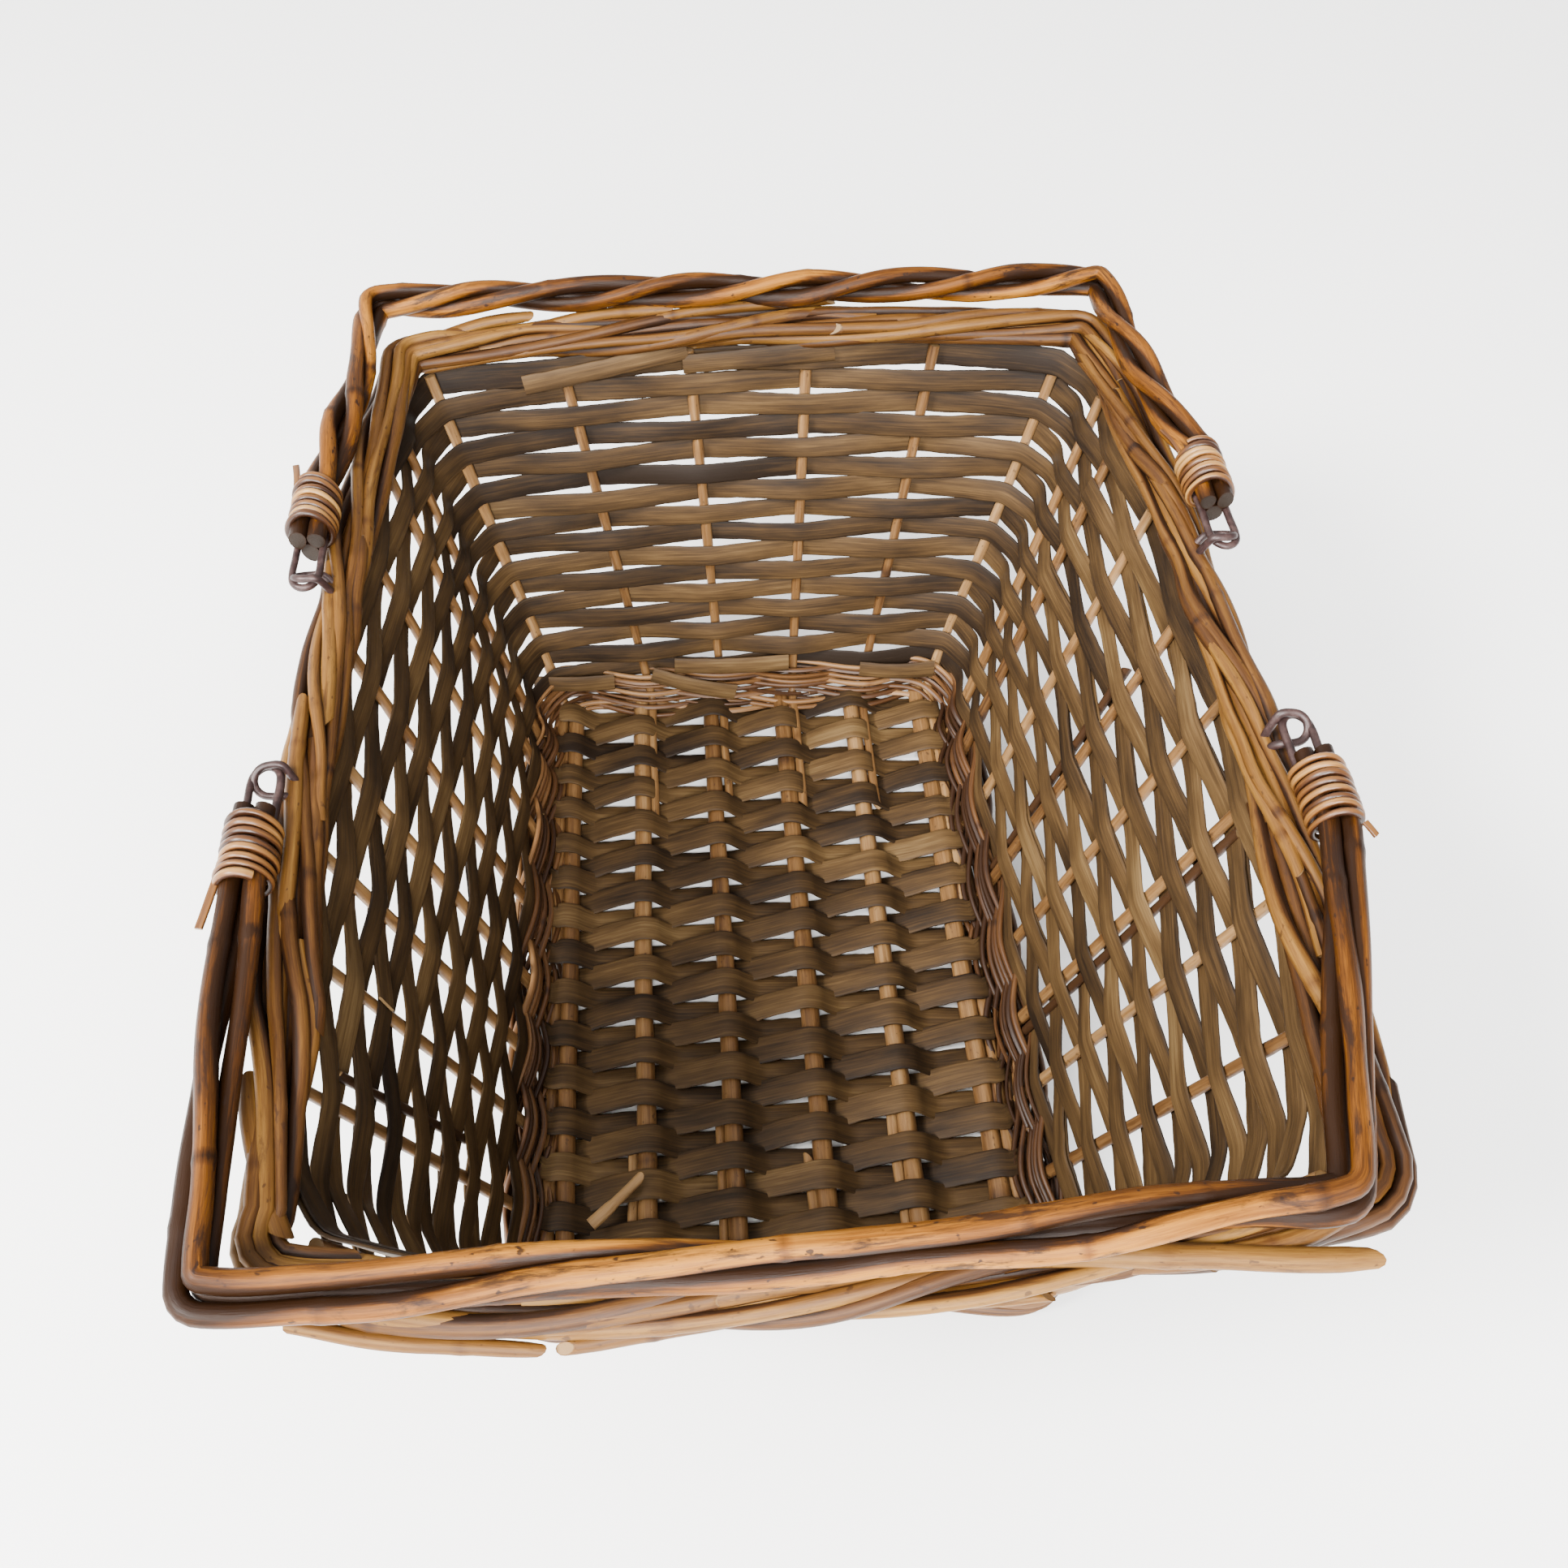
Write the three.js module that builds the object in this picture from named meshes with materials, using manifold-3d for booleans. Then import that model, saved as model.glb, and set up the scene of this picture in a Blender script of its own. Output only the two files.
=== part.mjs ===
// Flared wicker basket with two drop handles, in millimetres, +Z up.
// The origin is the middle of the footprint, on the surface that the basket stands on.
// +X is the right side, -Y the near end and +Y the far end. Both handles lie folded outward.

import * as THREE from 'three';
import { mergeVertices } from 'three/addons/utils/BufferGeometryUtils.js';
import Module from 'manifold-3d';

const wasm = await Module();
wasm.setup();

// Clearances
const seatGap = 0.35;
const rodGap = 0.3;
const bundleGap = 0.45;
const rowGap = 0.9;

// Rods, in radii
const stickRadius = 4;
const longStakeRadius = 2.6;
const stakeRadius = 2.5;
const waleRadius = 1.7;
const borderRodRadius = 3.3;
const handleRodRadius = 3.5;
const wireRadius = 1.3;

// Flat split strips
const stripThickness = 1.2;
const wallStripWidth = 9.4;
const baseStripThickness = 1.3;
const baseStripWidth = 9;
const baseRowGap = 1.4;

// Base
const stickCount = 6;
const stickSpacing = 37.6;
const baseHalfLength = 165;
const baseCornerReach = 20;
const roofHeadroom = 1.45;
const wrapHeadroom = 0.45;
const foldDepth = 1.5;

// Rim, measured to the middle of the border
const rimHalfWidth = 156;
const rimHalfLength = 206;
const rimHeight = 200;
const rimCornerRadius = 20;
const sideBow = 10;
const endBow = 10;

// Uprights. The shares place them along a side, from the near corner at -1 to the far one at 1
const sideStakeShares = [-0.82, -0.56, -0.335, -0.09, 0.18, 0.485, 0.745, 0.9];
const endStakeRimShares = [-0.6, -0.19, 0.19, 0.6];
const cornerStakeTurnShare = 0.64;
const cornerSwell = 5;

// Border and handle rods
const borderRods = 4;
const borderTurns = 4;
const borderRollLength = 354;
const borderStartShare = 0.48;
const handleRods = 3;
const handleTurns = 2;

// Handles: their hinges and bars rest on the border, and the reach is from the hinge line to the bar
const hingeOffset = 49;
const hingeSeatAngle = 1.02;
const handleTaper = 8;
const handleOverhang = 7;
const handleCornerRadius = 14;
const rodStart = 14;
const bindingStart = 19;

// Split willow that binds each handle end
const bindingTurns = 7;
const bindingStripWidth = 2.8;
const bindingStripThickness = 1.5;
const bindingPitch = 3.5;
const legTail = 5;

// Wire loops
const stapleHalfGap = 5.27;
const stapleTilt = 0.627;
const stapleBightLength = 5.34;
const eyeBightLength = 6.48;
const eyeSetback = 0.51;
const loopOffset = 1.71;
const stapleRootGap = 1;
const stapleShoulder = 4;

// Facets
const rodSides = 6;
const stickSides = 8;
const bindingStepsPerTurn = 9;
const bightSteps = 8;
const sideSteps = 10;
const endSteps = 8;
const cornerSteps = 3;
const handleCornerSteps = 4;
const handleArmSteps = 6;
const handleBarSteps = 14;

// Levels of the base: strips under the sticks, the sticks, strips over the sticks
const stickLevel = baseStripThickness + seatGap + stickRadius;
const lowStripLevel = baseStripThickness / 2;
const highStripLevel = stickLevel + stickRadius + seatGap + baseStripThickness / 2 + roofHeadroom;
const baseTop = highStripLevel + baseStripThickness / 2;

// Across the base: each stick has a long stake lying along its outer side
const pairHalfWidth = stickRadius + longStakeRadius + rodGap / 2;
const stickInset = pairHalfWidth - stickRadius;
const longStakeOffset = pairHalfWidth - longStakeRadius;
const outerPair = stickSpacing * (stickCount - 1) / 2;
const wrapReach = outerPair + pairHalfWidth + seatGap + baseStripThickness / 2 + wrapHeadroom;
const baseHalfWidth = wrapReach + baseStripThickness / 2 + seatGap + stakeRadius;

// Border and handle bundles: the rods lie round a circle and touch their neighbours but for the gap
const borderSpread = (borderRodRadius + bundleGap / 2) / Math.sin(Math.PI / borderRods);
const borderRadius = borderSpread + borderRodRadius;
const handleSpread = (handleRodRadius + bundleGap / 2) / Math.sin(Math.PI / handleRods);
const handleRadius = handleSpread + handleRodRadius;

// The eye's two legs lie in the lower grooves of the handle's three rods
const grooveReach = handleRodRadius + wireRadius + rodGap;
const grooveRadius = handleSpread / 2 + Math.sqrt(grooveReach ** 2 - (handleSpread ** 2) * 3 / 4);
const eyeHalfGap = grooveRadius * Math.cos(Math.PI / 6);
const eyeDrop = grooveRadius * Math.sin(Math.PI / 6);

// The winding clears the rods and rests on the border, up and outward at the seat angle
const windingRadius = handleRadius + seatGap + bindingStripThickness / 2;
const windingLength = bindingPitch * bindingTurns + bindingStripWidth;
const windingReach = windingRadius + bindingStripThickness / 2;
const bindingEnd = bindingStart + windingLength;
const borderAtHinge = rimHalfWidth + sideBow * (1 - (hingeOffset / rimHalfLength) ** 2);
const bindingStandOff = borderRadius + windingReach + seatGap;
const hingeHalfSpan = borderAtHinge + bindingStandOff * Math.cos(hingeSeatAngle);
const hingeHeight = rimHeight + bindingStandOff * Math.sin(hingeSeatAngle) - eyeDrop;

// A handle's bar lies on the border of its end, a little further out
const handleHalfWidth = hingeHalfSpan - handleTaper;
const handleReach = rimHalfLength + endBow + handleOverhang - hingeOffset;

const up = new THREE.Vector3(0, 0, 1);
const basket = new THREE.Group();

// Helpers

function finish(name) {
  const looks = {
    strip: [0x6e583e, 0.75, 0],
    stake: [0xb98f5a, 0.6, 0],
    twig: [0xb58a63, 0.65, 0],
    border: [0xb4824b, 0.5, 0],
    handle: [0x96633a, 0.5, 0],
    binding: [0xb97c50, 0.45, 0],
    wire: [0x55413c, 0.5, 0.8],
  };
  const [color, roughness, metalness] = looks[name];
  return new THREE.MeshStandardMaterial({ color, roughness, metalness });
}

function addPiece(parent, name, geometry, look) {
  const mesh = new THREE.Mesh(geometry, finish(look));
  mesh.name = name;
  parent.add(mesh);
  return mesh;
}

function signedVolume(points, index) {
  let volume = 0;
  for (let i = 0; i < index.length; i += 3) {
    const a = points[index[i]];
    const b = points[index[i + 1]];
    const c = points[index[i + 2]];
    volume += a.dot(b.clone().cross(c)) / 6;
  }
  return volume;
}

// Skins a row of rings, each with the same number of points, as one closed body
function loft(rings, isLoop) {
  const sides = rings[0].length;
  const points = rings.flat();
  const index = [];
  const spans = isLoop ? rings.length : rings.length - 1;
  for (let i = 0; i < spans; i += 1) {
    const here = i * sides;
    const next = ((i + 1) % rings.length) * sides;
    for (let j = 0; j < sides; j += 1) {
      const k = (j + 1) % sides;
      index.push(here + j, here + k, next + k);
      index.push(here + j, next + k, next + j);
    }
  }
  if (!isLoop) {
    const last = (rings.length - 1) * sides;
    for (let j = 1; j < sides - 1; j += 1) {
      index.push(0, j + 1, j);
      index.push(last, last + j, last + j + 1);
    }
  }
  if (signedVolume(points, index) < 0) index.reverse();
  const geometry = new THREE.BufferGeometry();
  const values = points.flatMap((point) => point.toArray());
  geometry.setAttribute('position', new THREE.Float32BufferAttribute(values, 3));
  geometry.setIndex(index);
  geometry.computeVertexNormals();
  return geometry;
}

function roundRing(centre, across, rise, radius, sides) {
  const ring = [];
  for (let j = 0; j < sides; j += 1) {
    const angle = 2 * Math.PI * j / sides;
    const point = centre.clone();
    point.addScaledVector(across, radius * Math.cos(angle));
    point.addScaledVector(rise, radius * Math.sin(angle));
    ring.push(point);
  }
  return ring;
}

function flatRing(centre, across, rise, thickness, width) {
  const ring = [];
  for (const [i, j] of [[1, 1], [-1, 1], [-1, -1], [1, -1]]) {
    const point = centre.clone();
    point.addScaledVector(across, i * thickness / 2);
    point.addScaledVector(rise, j * width / 2);
    ring.push(point);
  }
  return ring;
}

// A round rod along a row of points, with its section carried along without twist
function rod(points, radius, sides = rodSides) {
  const rings = [];
  const first = points[1].clone().sub(points[0]).normalize();
  const seed = Math.abs(first.z) < Math.abs(first.x) ? up : new THREE.Vector3(1, 0, 0);
  let across = seed.clone().cross(first).normalize();
  points.forEach((point, i) => {
    const before = points[Math.max(i - 1, 0)];
    const after = points[Math.min(i + 1, points.length - 1)];
    const tangent = after.clone().sub(before).normalize();
    across.addScaledVector(tangent, -across.dot(tangent)).normalize();
    const rise = tangent.clone().cross(across);
    rings.push(roundRing(point, across, rise, radius, sides));
  });
  return loft(rings, false);
}

// Rounds a bend between two straight lengths with a short curve
function bend(before, corner, after, reach, steps) {
  const start = corner.clone().add(before.clone().sub(corner).setLength(reach));
  const end = corner.clone().add(after.clone().sub(corner).setLength(reach));
  return new THREE.QuadraticBezierCurve3(start, corner, end).getPoints(steps);
}

function toSolid(geometry) {
  const bare = geometry.clone();
  for (const name of Object.keys(bare.attributes)) {
    if (name !== 'position') bare.deleteAttribute(name);
  }
  const merged = mergeVertices(bare);
  const mesh = new wasm.Mesh({
    numProp: 3,
    vertProperties: new Float32Array(merged.attributes.position.array),
    triVerts: new Uint32Array(merged.index.array),
  });
  return new wasm.Manifold(mesh);
}

function toGeometry(solid) {
  const mesh = solid.getMesh();
  const geometry = new THREE.BufferGeometry();
  geometry.setAttribute('position', new THREE.Float32BufferAttribute(mesh.vertProperties, 3));
  geometry.setIndex(Array.from(mesh.triVerts));
  geometry.computeVertexNormals();
  return geometry;
}

function joined(geometries) {
  return toGeometry(geometries.map(toSolid).reduce((whole, next) => whole.add(next)));
}

// Cuts the tools out of a body and keeps its main piece, without the slivers that a cut leaves
function cutBy(geometry, tools) {
  const cut = tools.map(toSolid).reduce((whole, next) => whole.subtract(next), toSolid(geometry));
  const pieces = cut.decompose();
  pieces.sort((a, b) => b.volume() - a.volume());
  return toGeometry(pieces[0]);
}

// Middle line of the border: four bowed sides joined by round corners, walked anticlockwise

function sidePoint(share) {
  const y = share * (rimHalfLength - rimCornerRadius);
  return new THREE.Vector3(rimHalfWidth + sideBow * (1 - share ** 2), y, rimHeight);
}

function endPoint(share) {
  const x = share * (rimHalfWidth - rimCornerRadius);
  return new THREE.Vector3(x, rimHalfLength + endBow * (1 - share ** 2), rimHeight);
}

function cornerPoint(turnShare) {
  const angle = turnShare * Math.PI / 2;
  const x = rimHalfWidth - rimCornerRadius + rimCornerRadius * Math.cos(angle);
  const y = rimHalfLength - rimCornerRadius + rimCornerRadius * Math.sin(angle);
  return new THREE.Vector3(x, y, rimHeight);
}

function mirrored(point, xSign, ySign) {
  return new THREE.Vector3(point.x * xSign, point.y * ySign, point.z);
}

function borderLine() {
  const points = [];
  const shares = (steps) => Array.from({ length: steps - 1 }, (_, i) => 2 * (i + 1) / steps - 1);
  const turns = Array.from({ length: cornerSteps + 1 }, (_, i) => i / cornerSteps);
  const turnsBack = turns.slice().reverse();
  points.push(...shares(sideSteps).map((share) => sidePoint(share)));
  points.push(...turns.map((turn) => cornerPoint(turn)));
  points.push(...shares(endSteps).map((share) => mirrored(endPoint(share), -1, 1)));
  points.push(...turnsBack.map((turn) => mirrored(cornerPoint(turn), -1, 1)));
  points.push(...shares(sideSteps).map((share) => mirrored(sidePoint(share), -1, -1)));
  points.push(...turns.map((turn) => mirrored(cornerPoint(turn), -1, -1)));
  points.push(...shares(endSteps).map((share) => mirrored(endPoint(share), 1, -1)));
  points.push(...turnsBack.map((turn) => mirrored(cornerPoint(turn), 1, -1)));
  return points;
}

// Gives each point of a line its outward direction and its distance along the line
function withFrames(points, isLoop, normal) {
  let distance = 0;
  return points.map((point, i) => {
    const count = points.length;
    const before = isLoop ? points[(i + count - 1) % count] : points[Math.max(i - 1, 0)];
    const after = isLoop ? points[(i + 1) % count] : points[Math.min(i + 1, count - 1)];
    const tangent = after.clone().sub(before).normalize();
    const out = tangent.clone().cross(normal).normalize();
    if (i > 0) distance += point.distanceTo(points[i - 1]);
    return { point, out, distance };
  });
}

const border = withFrames(borderLine(), true, up);
const borderClosing = border[border.length - 1].point.distanceTo(border[0].point);
const borderLength = border[border.length - 1].distance + borderClosing;

// Turns that the rods have rolled at a distance along the border. At the hinges they roll at one
// steady rate, so that the staples keep their place between them, and the ends take up the rest
function borderRoll(distance) {
  const half = borderLength / 2;
  const fromSide = distance - border[sideSteps / 2 - 1].distance;
  const sidesPassed = Math.round(fromSide / half);
  const local = fromSide - sidesPassed * half;
  const steadyReach = hingeOffset + borderRadius;
  const steady = Math.min(Math.abs(local), steadyReach);
  const restTurns = borderTurns / 4 - steadyReach / borderRollLength;
  const restShare = (Math.abs(local) - steady) / (half / 2 - steadyReach);
  const turns = steady / borderRollLength + restShare * restTurns;
  return borderStartShare + sidesPassed * borderTurns / 2 + Math.sign(local) * turns;
}

function borderAngle(distance, rodNumber) {
  return 2 * Math.PI * (borderRoll(distance) + (rodNumber + 0.5) / borderRods);
}

function borderRodGeometry(rodNumber) {
  const rings = border.map(({ point, out, distance }) => {
    const angle = borderAngle(distance, rodNumber);
    const centre = point.clone();
    centre.addScaledVector(out, borderSpread * Math.cos(angle));
    centre.addScaledVector(up, borderSpread * Math.sin(angle));
    return roundRing(centre, out, up, borderRodRadius, rodSides);
  });
  return loft(rings, true);
}

// Height at which a leaning upright ends, just under whichever border rods pass over it
function uprightEnd({ top, direction }, radius) {
  const nearest = border.reduce((best, frame) => (
    frame.point.distanceTo(top) < best.point.distanceTo(top) ? frame : best));
  const tangent = nearest.out.clone().cross(up).negate();
  const distance = nearest.distance + top.clone().sub(nearest.point).dot(tangent);
  const heights = Array.from({ length: borderRods }, (_, rodNumber) => {
    const angle = borderAngle(distance, rodNumber);
    const aside = Math.max(Math.abs(borderSpread * Math.cos(angle)) - radius, 0);
    const level = rimHeight + borderSpread * Math.sin(angle);
    return aside < borderRodRadius ? level - Math.sqrt(borderRodRadius ** 2 - aside ** 2) : rimHeight;
  });
  const lean = Math.hypot(direction.x, direction.y);
  return Math.min(...heights) - seatGap - radius * lean;
}

// Uprights: each one runs straight from its foot on the base to the middle of the border

function stakeFoot(x, y) {
  return new THREE.Vector3(x, y, stickLevel);
}

function makeUprights() {
  const uprights = [];
  const longStakeX = (number) => {
    const middle = (number - (stickCount - 1) / 2) * stickSpacing;
    return middle + Math.sign(middle) * longStakeOffset;
  };
  const side = (xSign, share) => uprights.push({
    kind: 'side',
    xSign,
    foot: stakeFoot(xSign * baseHalfWidth, share * (baseHalfLength - baseCornerReach)),
    top: mirrored(sidePoint(share), xSign, 1),
  });
  const end = (ySign, number) => uprights.push({
    kind: 'end',
    ySign,
    number,
    foot: stakeFoot(longStakeX(number), ySign * baseHalfLength),
    top: mirrored(endPoint(endStakeRimShares[number - 1]), 1, ySign),
  });
  const corner = (xSign, ySign) => uprights.push({
    kind: 'end',
    ySign,
    number: xSign < 0 ? 0 : stickCount - 1,
    foot: stakeFoot(xSign * longStakeX(stickCount - 1), ySign * baseHalfLength),
    top: mirrored(cornerPoint(cornerStakeTurnShare), xSign, ySign),
  });
  const shoulder = () => uprights.push({ kind: 'shoulder' });
  const inner = Array.from({ length: stickCount - 2 }, (_, i) => i + 1);
  sideStakeShares.forEach((share) => side(1, share));
  shoulder();
  corner(1, 1);
  inner.slice().reverse().forEach((number) => end(1, number));
  corner(-1, 1);
  shoulder();
  sideStakeShares.slice().reverse().forEach((share) => side(-1, share));
  shoulder();
  corner(-1, -1);
  inner.forEach((number) => end(-1, number));
  corner(1, -1);
  shoulder();
  return uprights;
}

const uprights = makeUprights();

function neighbours(i) {
  const count = uprights.length;
  return [uprights[(i + count - 1) % count], uprights[(i + 1) % count]];
}

// A shoulder is no rod: it rounds the wall between a corner upright and the first on the side
uprights.forEach((upright, i) => {
  if (upright.kind !== 'shoulder') return;
  const [before, after] = neighbours(i);
  upright.foot = before.foot.clone().lerp(after.foot, 0.5);
  upright.top = before.top.clone().lerp(after.top, 0.5);
});
uprights.forEach((upright, i) => {
  const [before, after] = neighbours(i);
  upright.direction = upright.top.clone().sub(upright.foot).normalize();
  const along = after.top.clone().add(after.foot).sub(before.top).sub(before.foot);
  upright.out = along.cross(upright.direction).normalize();
});
uprights.forEach((upright) => {
  if (upright.kind !== 'shoulder') return;
  upright.foot.addScaledVector(upright.out, cornerSwell);
  upright.top.addScaledVector(upright.out, cornerSwell);
});
let rodsSoFar = 0;
uprights.forEach((upright, i) => {
  upright.swing = upright.kind === 'shoulder' ? 0 : (-1) ** rodsSoFar;
  rodsSoFar += upright.kind === 'shoulder' ? 0 : 1;
  upright.stretch = Math.max(stretchAt(i, 'foot'), stretchAt(i, 'top'));
});

// Where the wall turns, a woven strip leans in towards its upright, so it swings out by more
function stretchAt(i, end) {
  const here = uprights[i];
  const [before, after] = neighbours(i);
  const leans = [here[end].clone().sub(before[end]), after[end].clone().sub(here[end])].map((chord) => (
    Math.abs(chord.normalize().dot(here.out))));
  return 1 / Math.sqrt(1 - Math.max(...leans) ** 2);
}

function uprightAt(upright, level) {
  const share = (level - stickLevel) / (rimHeight - stickLevel);
  return upright.foot.clone().lerp(upright.top, share);
}

// Woven rounds: each passes outside one upright and inside the next

function wovenRound(level, swingSign, offset, section) {
  const rings = uprights.map((upright) => {
    const centre = uprightAt(upright, level);
    centre.addScaledVector(upright.out, swingSign * upright.swing * upright.stretch * offset);
    return section(centre, upright);
  });
  return loft(rings, true);
}

function wallRow(level, swingSign) {
  const offset = longStakeRadius + seatGap + stripThickness / 2;
  return wovenRound(level, swingSign, offset, (centre, upright) => (
    flatRing(centre, upright.out, upright.direction, stripThickness, wallStripWidth)));
}

function waleRound(level, swingSign) {
  const offset = longStakeRadius + seatGap + waleRadius;
  return wovenRound(level, swingSign, offset, (centre, upright) => (
    roundRing(centre, upright.out, upright.direction, waleRadius, rodSides)));
}

const firstWaleLevel = baseTop + seatGap + waleRadius;
const secondWaleLevel = firstWaleLevel + 2 * waleRadius + seatGap;
const firstRowLevel = secondWaleLevel + waleRadius + rowGap + wallStripWidth / 2;
const lastRowLevel = rimHeight - borderRadius - rowGap - wallStripWidth / 2;
const rowCount = Math.floor((lastRowLevel - firstRowLevel) / (wallStripWidth + rowGap)) + 1;
const rowPitch = (lastRowLevel - firstRowLevel) / (rowCount - 1);

function addWalls() {
  addPiece(basket, 'wale_lower', waleRound(firstWaleLevel, 1), 'twig');
  addPiece(basket, 'wale_upper', waleRound(secondWaleLevel, -1), 'twig');
  for (let row = 0; row < rowCount; row += 1) {
    const name = `weaver_row_${String(row + 1).padStart(2, '0')}`;
    const level = firstRowLevel + row * rowPitch;
    addPiece(basket, name, wallRow(level, (-1) ** row), 'strip');
  }
}

// Long stakes: one rod rises up the near end, lies along a base stick and rises up the far end

function stakeTip(upright, radius) {
  return uprightAt(upright, uprightEnd(upright, radius));
}

function longStake(number) {
  const ends = uprights.filter((upright) => upright.kind === 'end' && upright.number === number);
  const near = ends.find((upright) => upright.ySign < 0);
  const far = ends.find((upright) => upright.ySign > 0);
  const nearTip = stakeTip(near, longStakeRadius);
  const farTip = stakeTip(far, longStakeRadius);
  const reach = 2 * longStakeRadius;
  const points = [nearTip];
  points.push(...bend(nearTip, near.foot, far.foot, reach, 2));
  points.push(...bend(near.foot, far.foot, farTip, reach, 2));
  points.push(farTip);
  return rod(points, longStakeRadius);
}

// Side stakes: their thin feet are turned along the edge of the base, into one band
function sideStakes(xSign) {
  const stakes = uprights.filter((upright) => upright.kind === 'side' && upright.xSign === xSign);
  const rods = stakes.map((upright) => rod([upright.foot, stakeTip(upright, stakeRadius)], stakeRadius));
  const feet = stakes.map((upright) => upright.foot.y);
  const start = new THREE.Vector3(xSign * baseHalfWidth, Math.min(...feet) - stakeRadius, stickLevel);
  const end = new THREE.Vector3(xSign * baseHalfWidth, Math.max(...feet) + stakeRadius, stickLevel);
  return joined([rod([start, end], stakeRadius, stickSides), ...rods]);
}

function addUprights() {
  for (let number = 0; number < stickCount; number += 1) {
    addPiece(basket, `long_stake_${number + 1}`, longStake(number), 'stake');
  }
  addPiece(basket, 'left_side_stakes', sideStakes(-1), 'stake');
  addPiece(basket, 'right_side_stakes', sideStakes(1), 'stake');
}

// Base: sticks from end to end, with one strip woven to and fro across them

const baseRowPitch = baseStripWidth + baseRowGap;
const waleInside = longStakeRadius + seatGap + 2 * waleRadius + seatGap;
const lastBaseRow = baseHalfLength - waleInside - baseStripWidth / 2;
const baseRows = Math.floor(2 * lastBaseRow / baseRowPitch) + 1;

function addSticks() {
  const length = 2 * (baseHalfLength - longStakeRadius - seatGap);
  for (let number = 0; number < stickCount; number += 1) {
    const middle = (number - (stickCount - 1) / 2) * stickSpacing;
    const stick = new THREE.CylinderGeometry(stickRadius, stickRadius, length, stickSides);
    const mesh = addPiece(basket, `base_stick_${number + 1}`, stick, 'stake');
    mesh.position.set(middle - Math.sign(middle) * stickInset, 0, stickLevel);
  }
}

function baseWeave() {
  const rings = [];
  const halfThickness = baseStripThickness / 2;
  const across = new THREE.Vector3();
  const along = new THREE.Vector3(0, 1, 0);
  const path = [];
  for (let row = 0; row < baseRows; row += 1) {
    const y = (row - (baseRows - 1) / 2) * baseRowPitch;
    const heading = row % 2 === 0 ? 1 : -1;
    for (let step = 0; step < stickCount; step += 1) {
      const number = heading > 0 ? step : stickCount - 1 - step;
      const middle = (number - (stickCount - 1) / 2) * stickSpacing;
      const isOver = step % 2 === 1;
      if (isOver) {
        path.push([middle - (step === stickCount - 1 ? heading * foldDepth : 0), y, highStripLevel]);
      } else {
        path.push([middle - heading * pairHalfWidth, y, lowStripLevel]);
        path.push([middle + heading * pairHalfWidth, y, lowStripLevel]);
      }
    }
    if (row === baseRows - 1) break;
    const shoulderLevel = stickLevel + stickRadius + seatGap + halfThickness;
    const shoulderX = heading * (outerPair + pairHalfWidth);
    path.push([shoulderX, y + baseRowPitch / 4, shoulderLevel]);
    path.push([heading * wrapReach, y + baseRowPitch / 2, stickLevel]);
  }
  const points = path.map(([x, y, z]) => new THREE.Vector3(x, y, z));
  points.forEach((point, i) => {
    const before = points[Math.max(i - 1, 0)];
    const after = points[Math.min(i + 1, points.length - 1)];
    across.set(after.x - before.x, 0, after.z - before.z).normalize();
    if (point.z === lowStripLevel) across.set(Math.sign(across.x), 0, 0);
    const normal = new THREE.Vector3(-across.z, 0, across.x);
    rings.push(flatRing(point, normal, along, baseStripThickness, baseStripWidth));
  });
  return loft(rings, false);
}

// Wire staples, driven into the border between its rods, and wire eyes on the handle ends

function stapleLine(xSign, ySign) {
  const aside = new THREE.Vector3(0, -ySign * Math.cos(stapleTilt), Math.sin(stapleTilt));
  const hinge = new THREE.Vector3(0, ySign * hingeOffset, hingeHeight);
  const apex = hingeHalfSpan + loopOffset;
  const root = new THREE.Vector3(borderAtHinge, ySign * hingeOffset, rimHeight);
  const at = (x, spread) => hinge.clone().setX(x).addScaledVector(aside, spread);
  const leg = (sign) => {
    const foot = root.clone();
    foot.y -= sign * ySign * (wireRadius + stapleRootGap / 2);
    const collar = at(apex - stapleBightLength - stapleShoulder, sign * stapleHalfGap);
    return [foot, collar];
  };
  const points = [...leg(1)];
  for (let i = 0; i <= bightSteps; i += 1) {
    const angle = Math.PI * (0.5 - i / bightSteps);
    const x = apex - stapleBightLength + stapleBightLength * Math.cos(angle);
    points.push(at(x, stapleHalfGap * Math.sin(angle)));
  }
  points.push(...leg(-1).reverse());
  return points.map((point) => mirrored(point, xSign, 1));
}

function eyeLine(xSign) {
  const points = [new THREE.Vector3(xSign * (hingeHalfSpan - eyeHalfGap), bindingEnd - legTail, 0)];
  for (let i = 0; i <= bightSteps; i += 1) {
    const angle = Math.PI * i / bightSteps;
    const x = hingeHalfSpan - eyeHalfGap * Math.cos(angle);
    points.push(new THREE.Vector3(xSign * x, eyeSetback - eyeBightLength * Math.sin(angle), 0));
  }
  points.push(new THREE.Vector3(xSign * (hingeHalfSpan + eyeHalfGap), bindingEnd - legTail, 0));
  return points;
}

const corners = [
  ['near_left', -1, -1],
  ['near_right', 1, -1],
  ['far_left', -1, 1],
  ['far_right', 1, 1],
];

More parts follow.
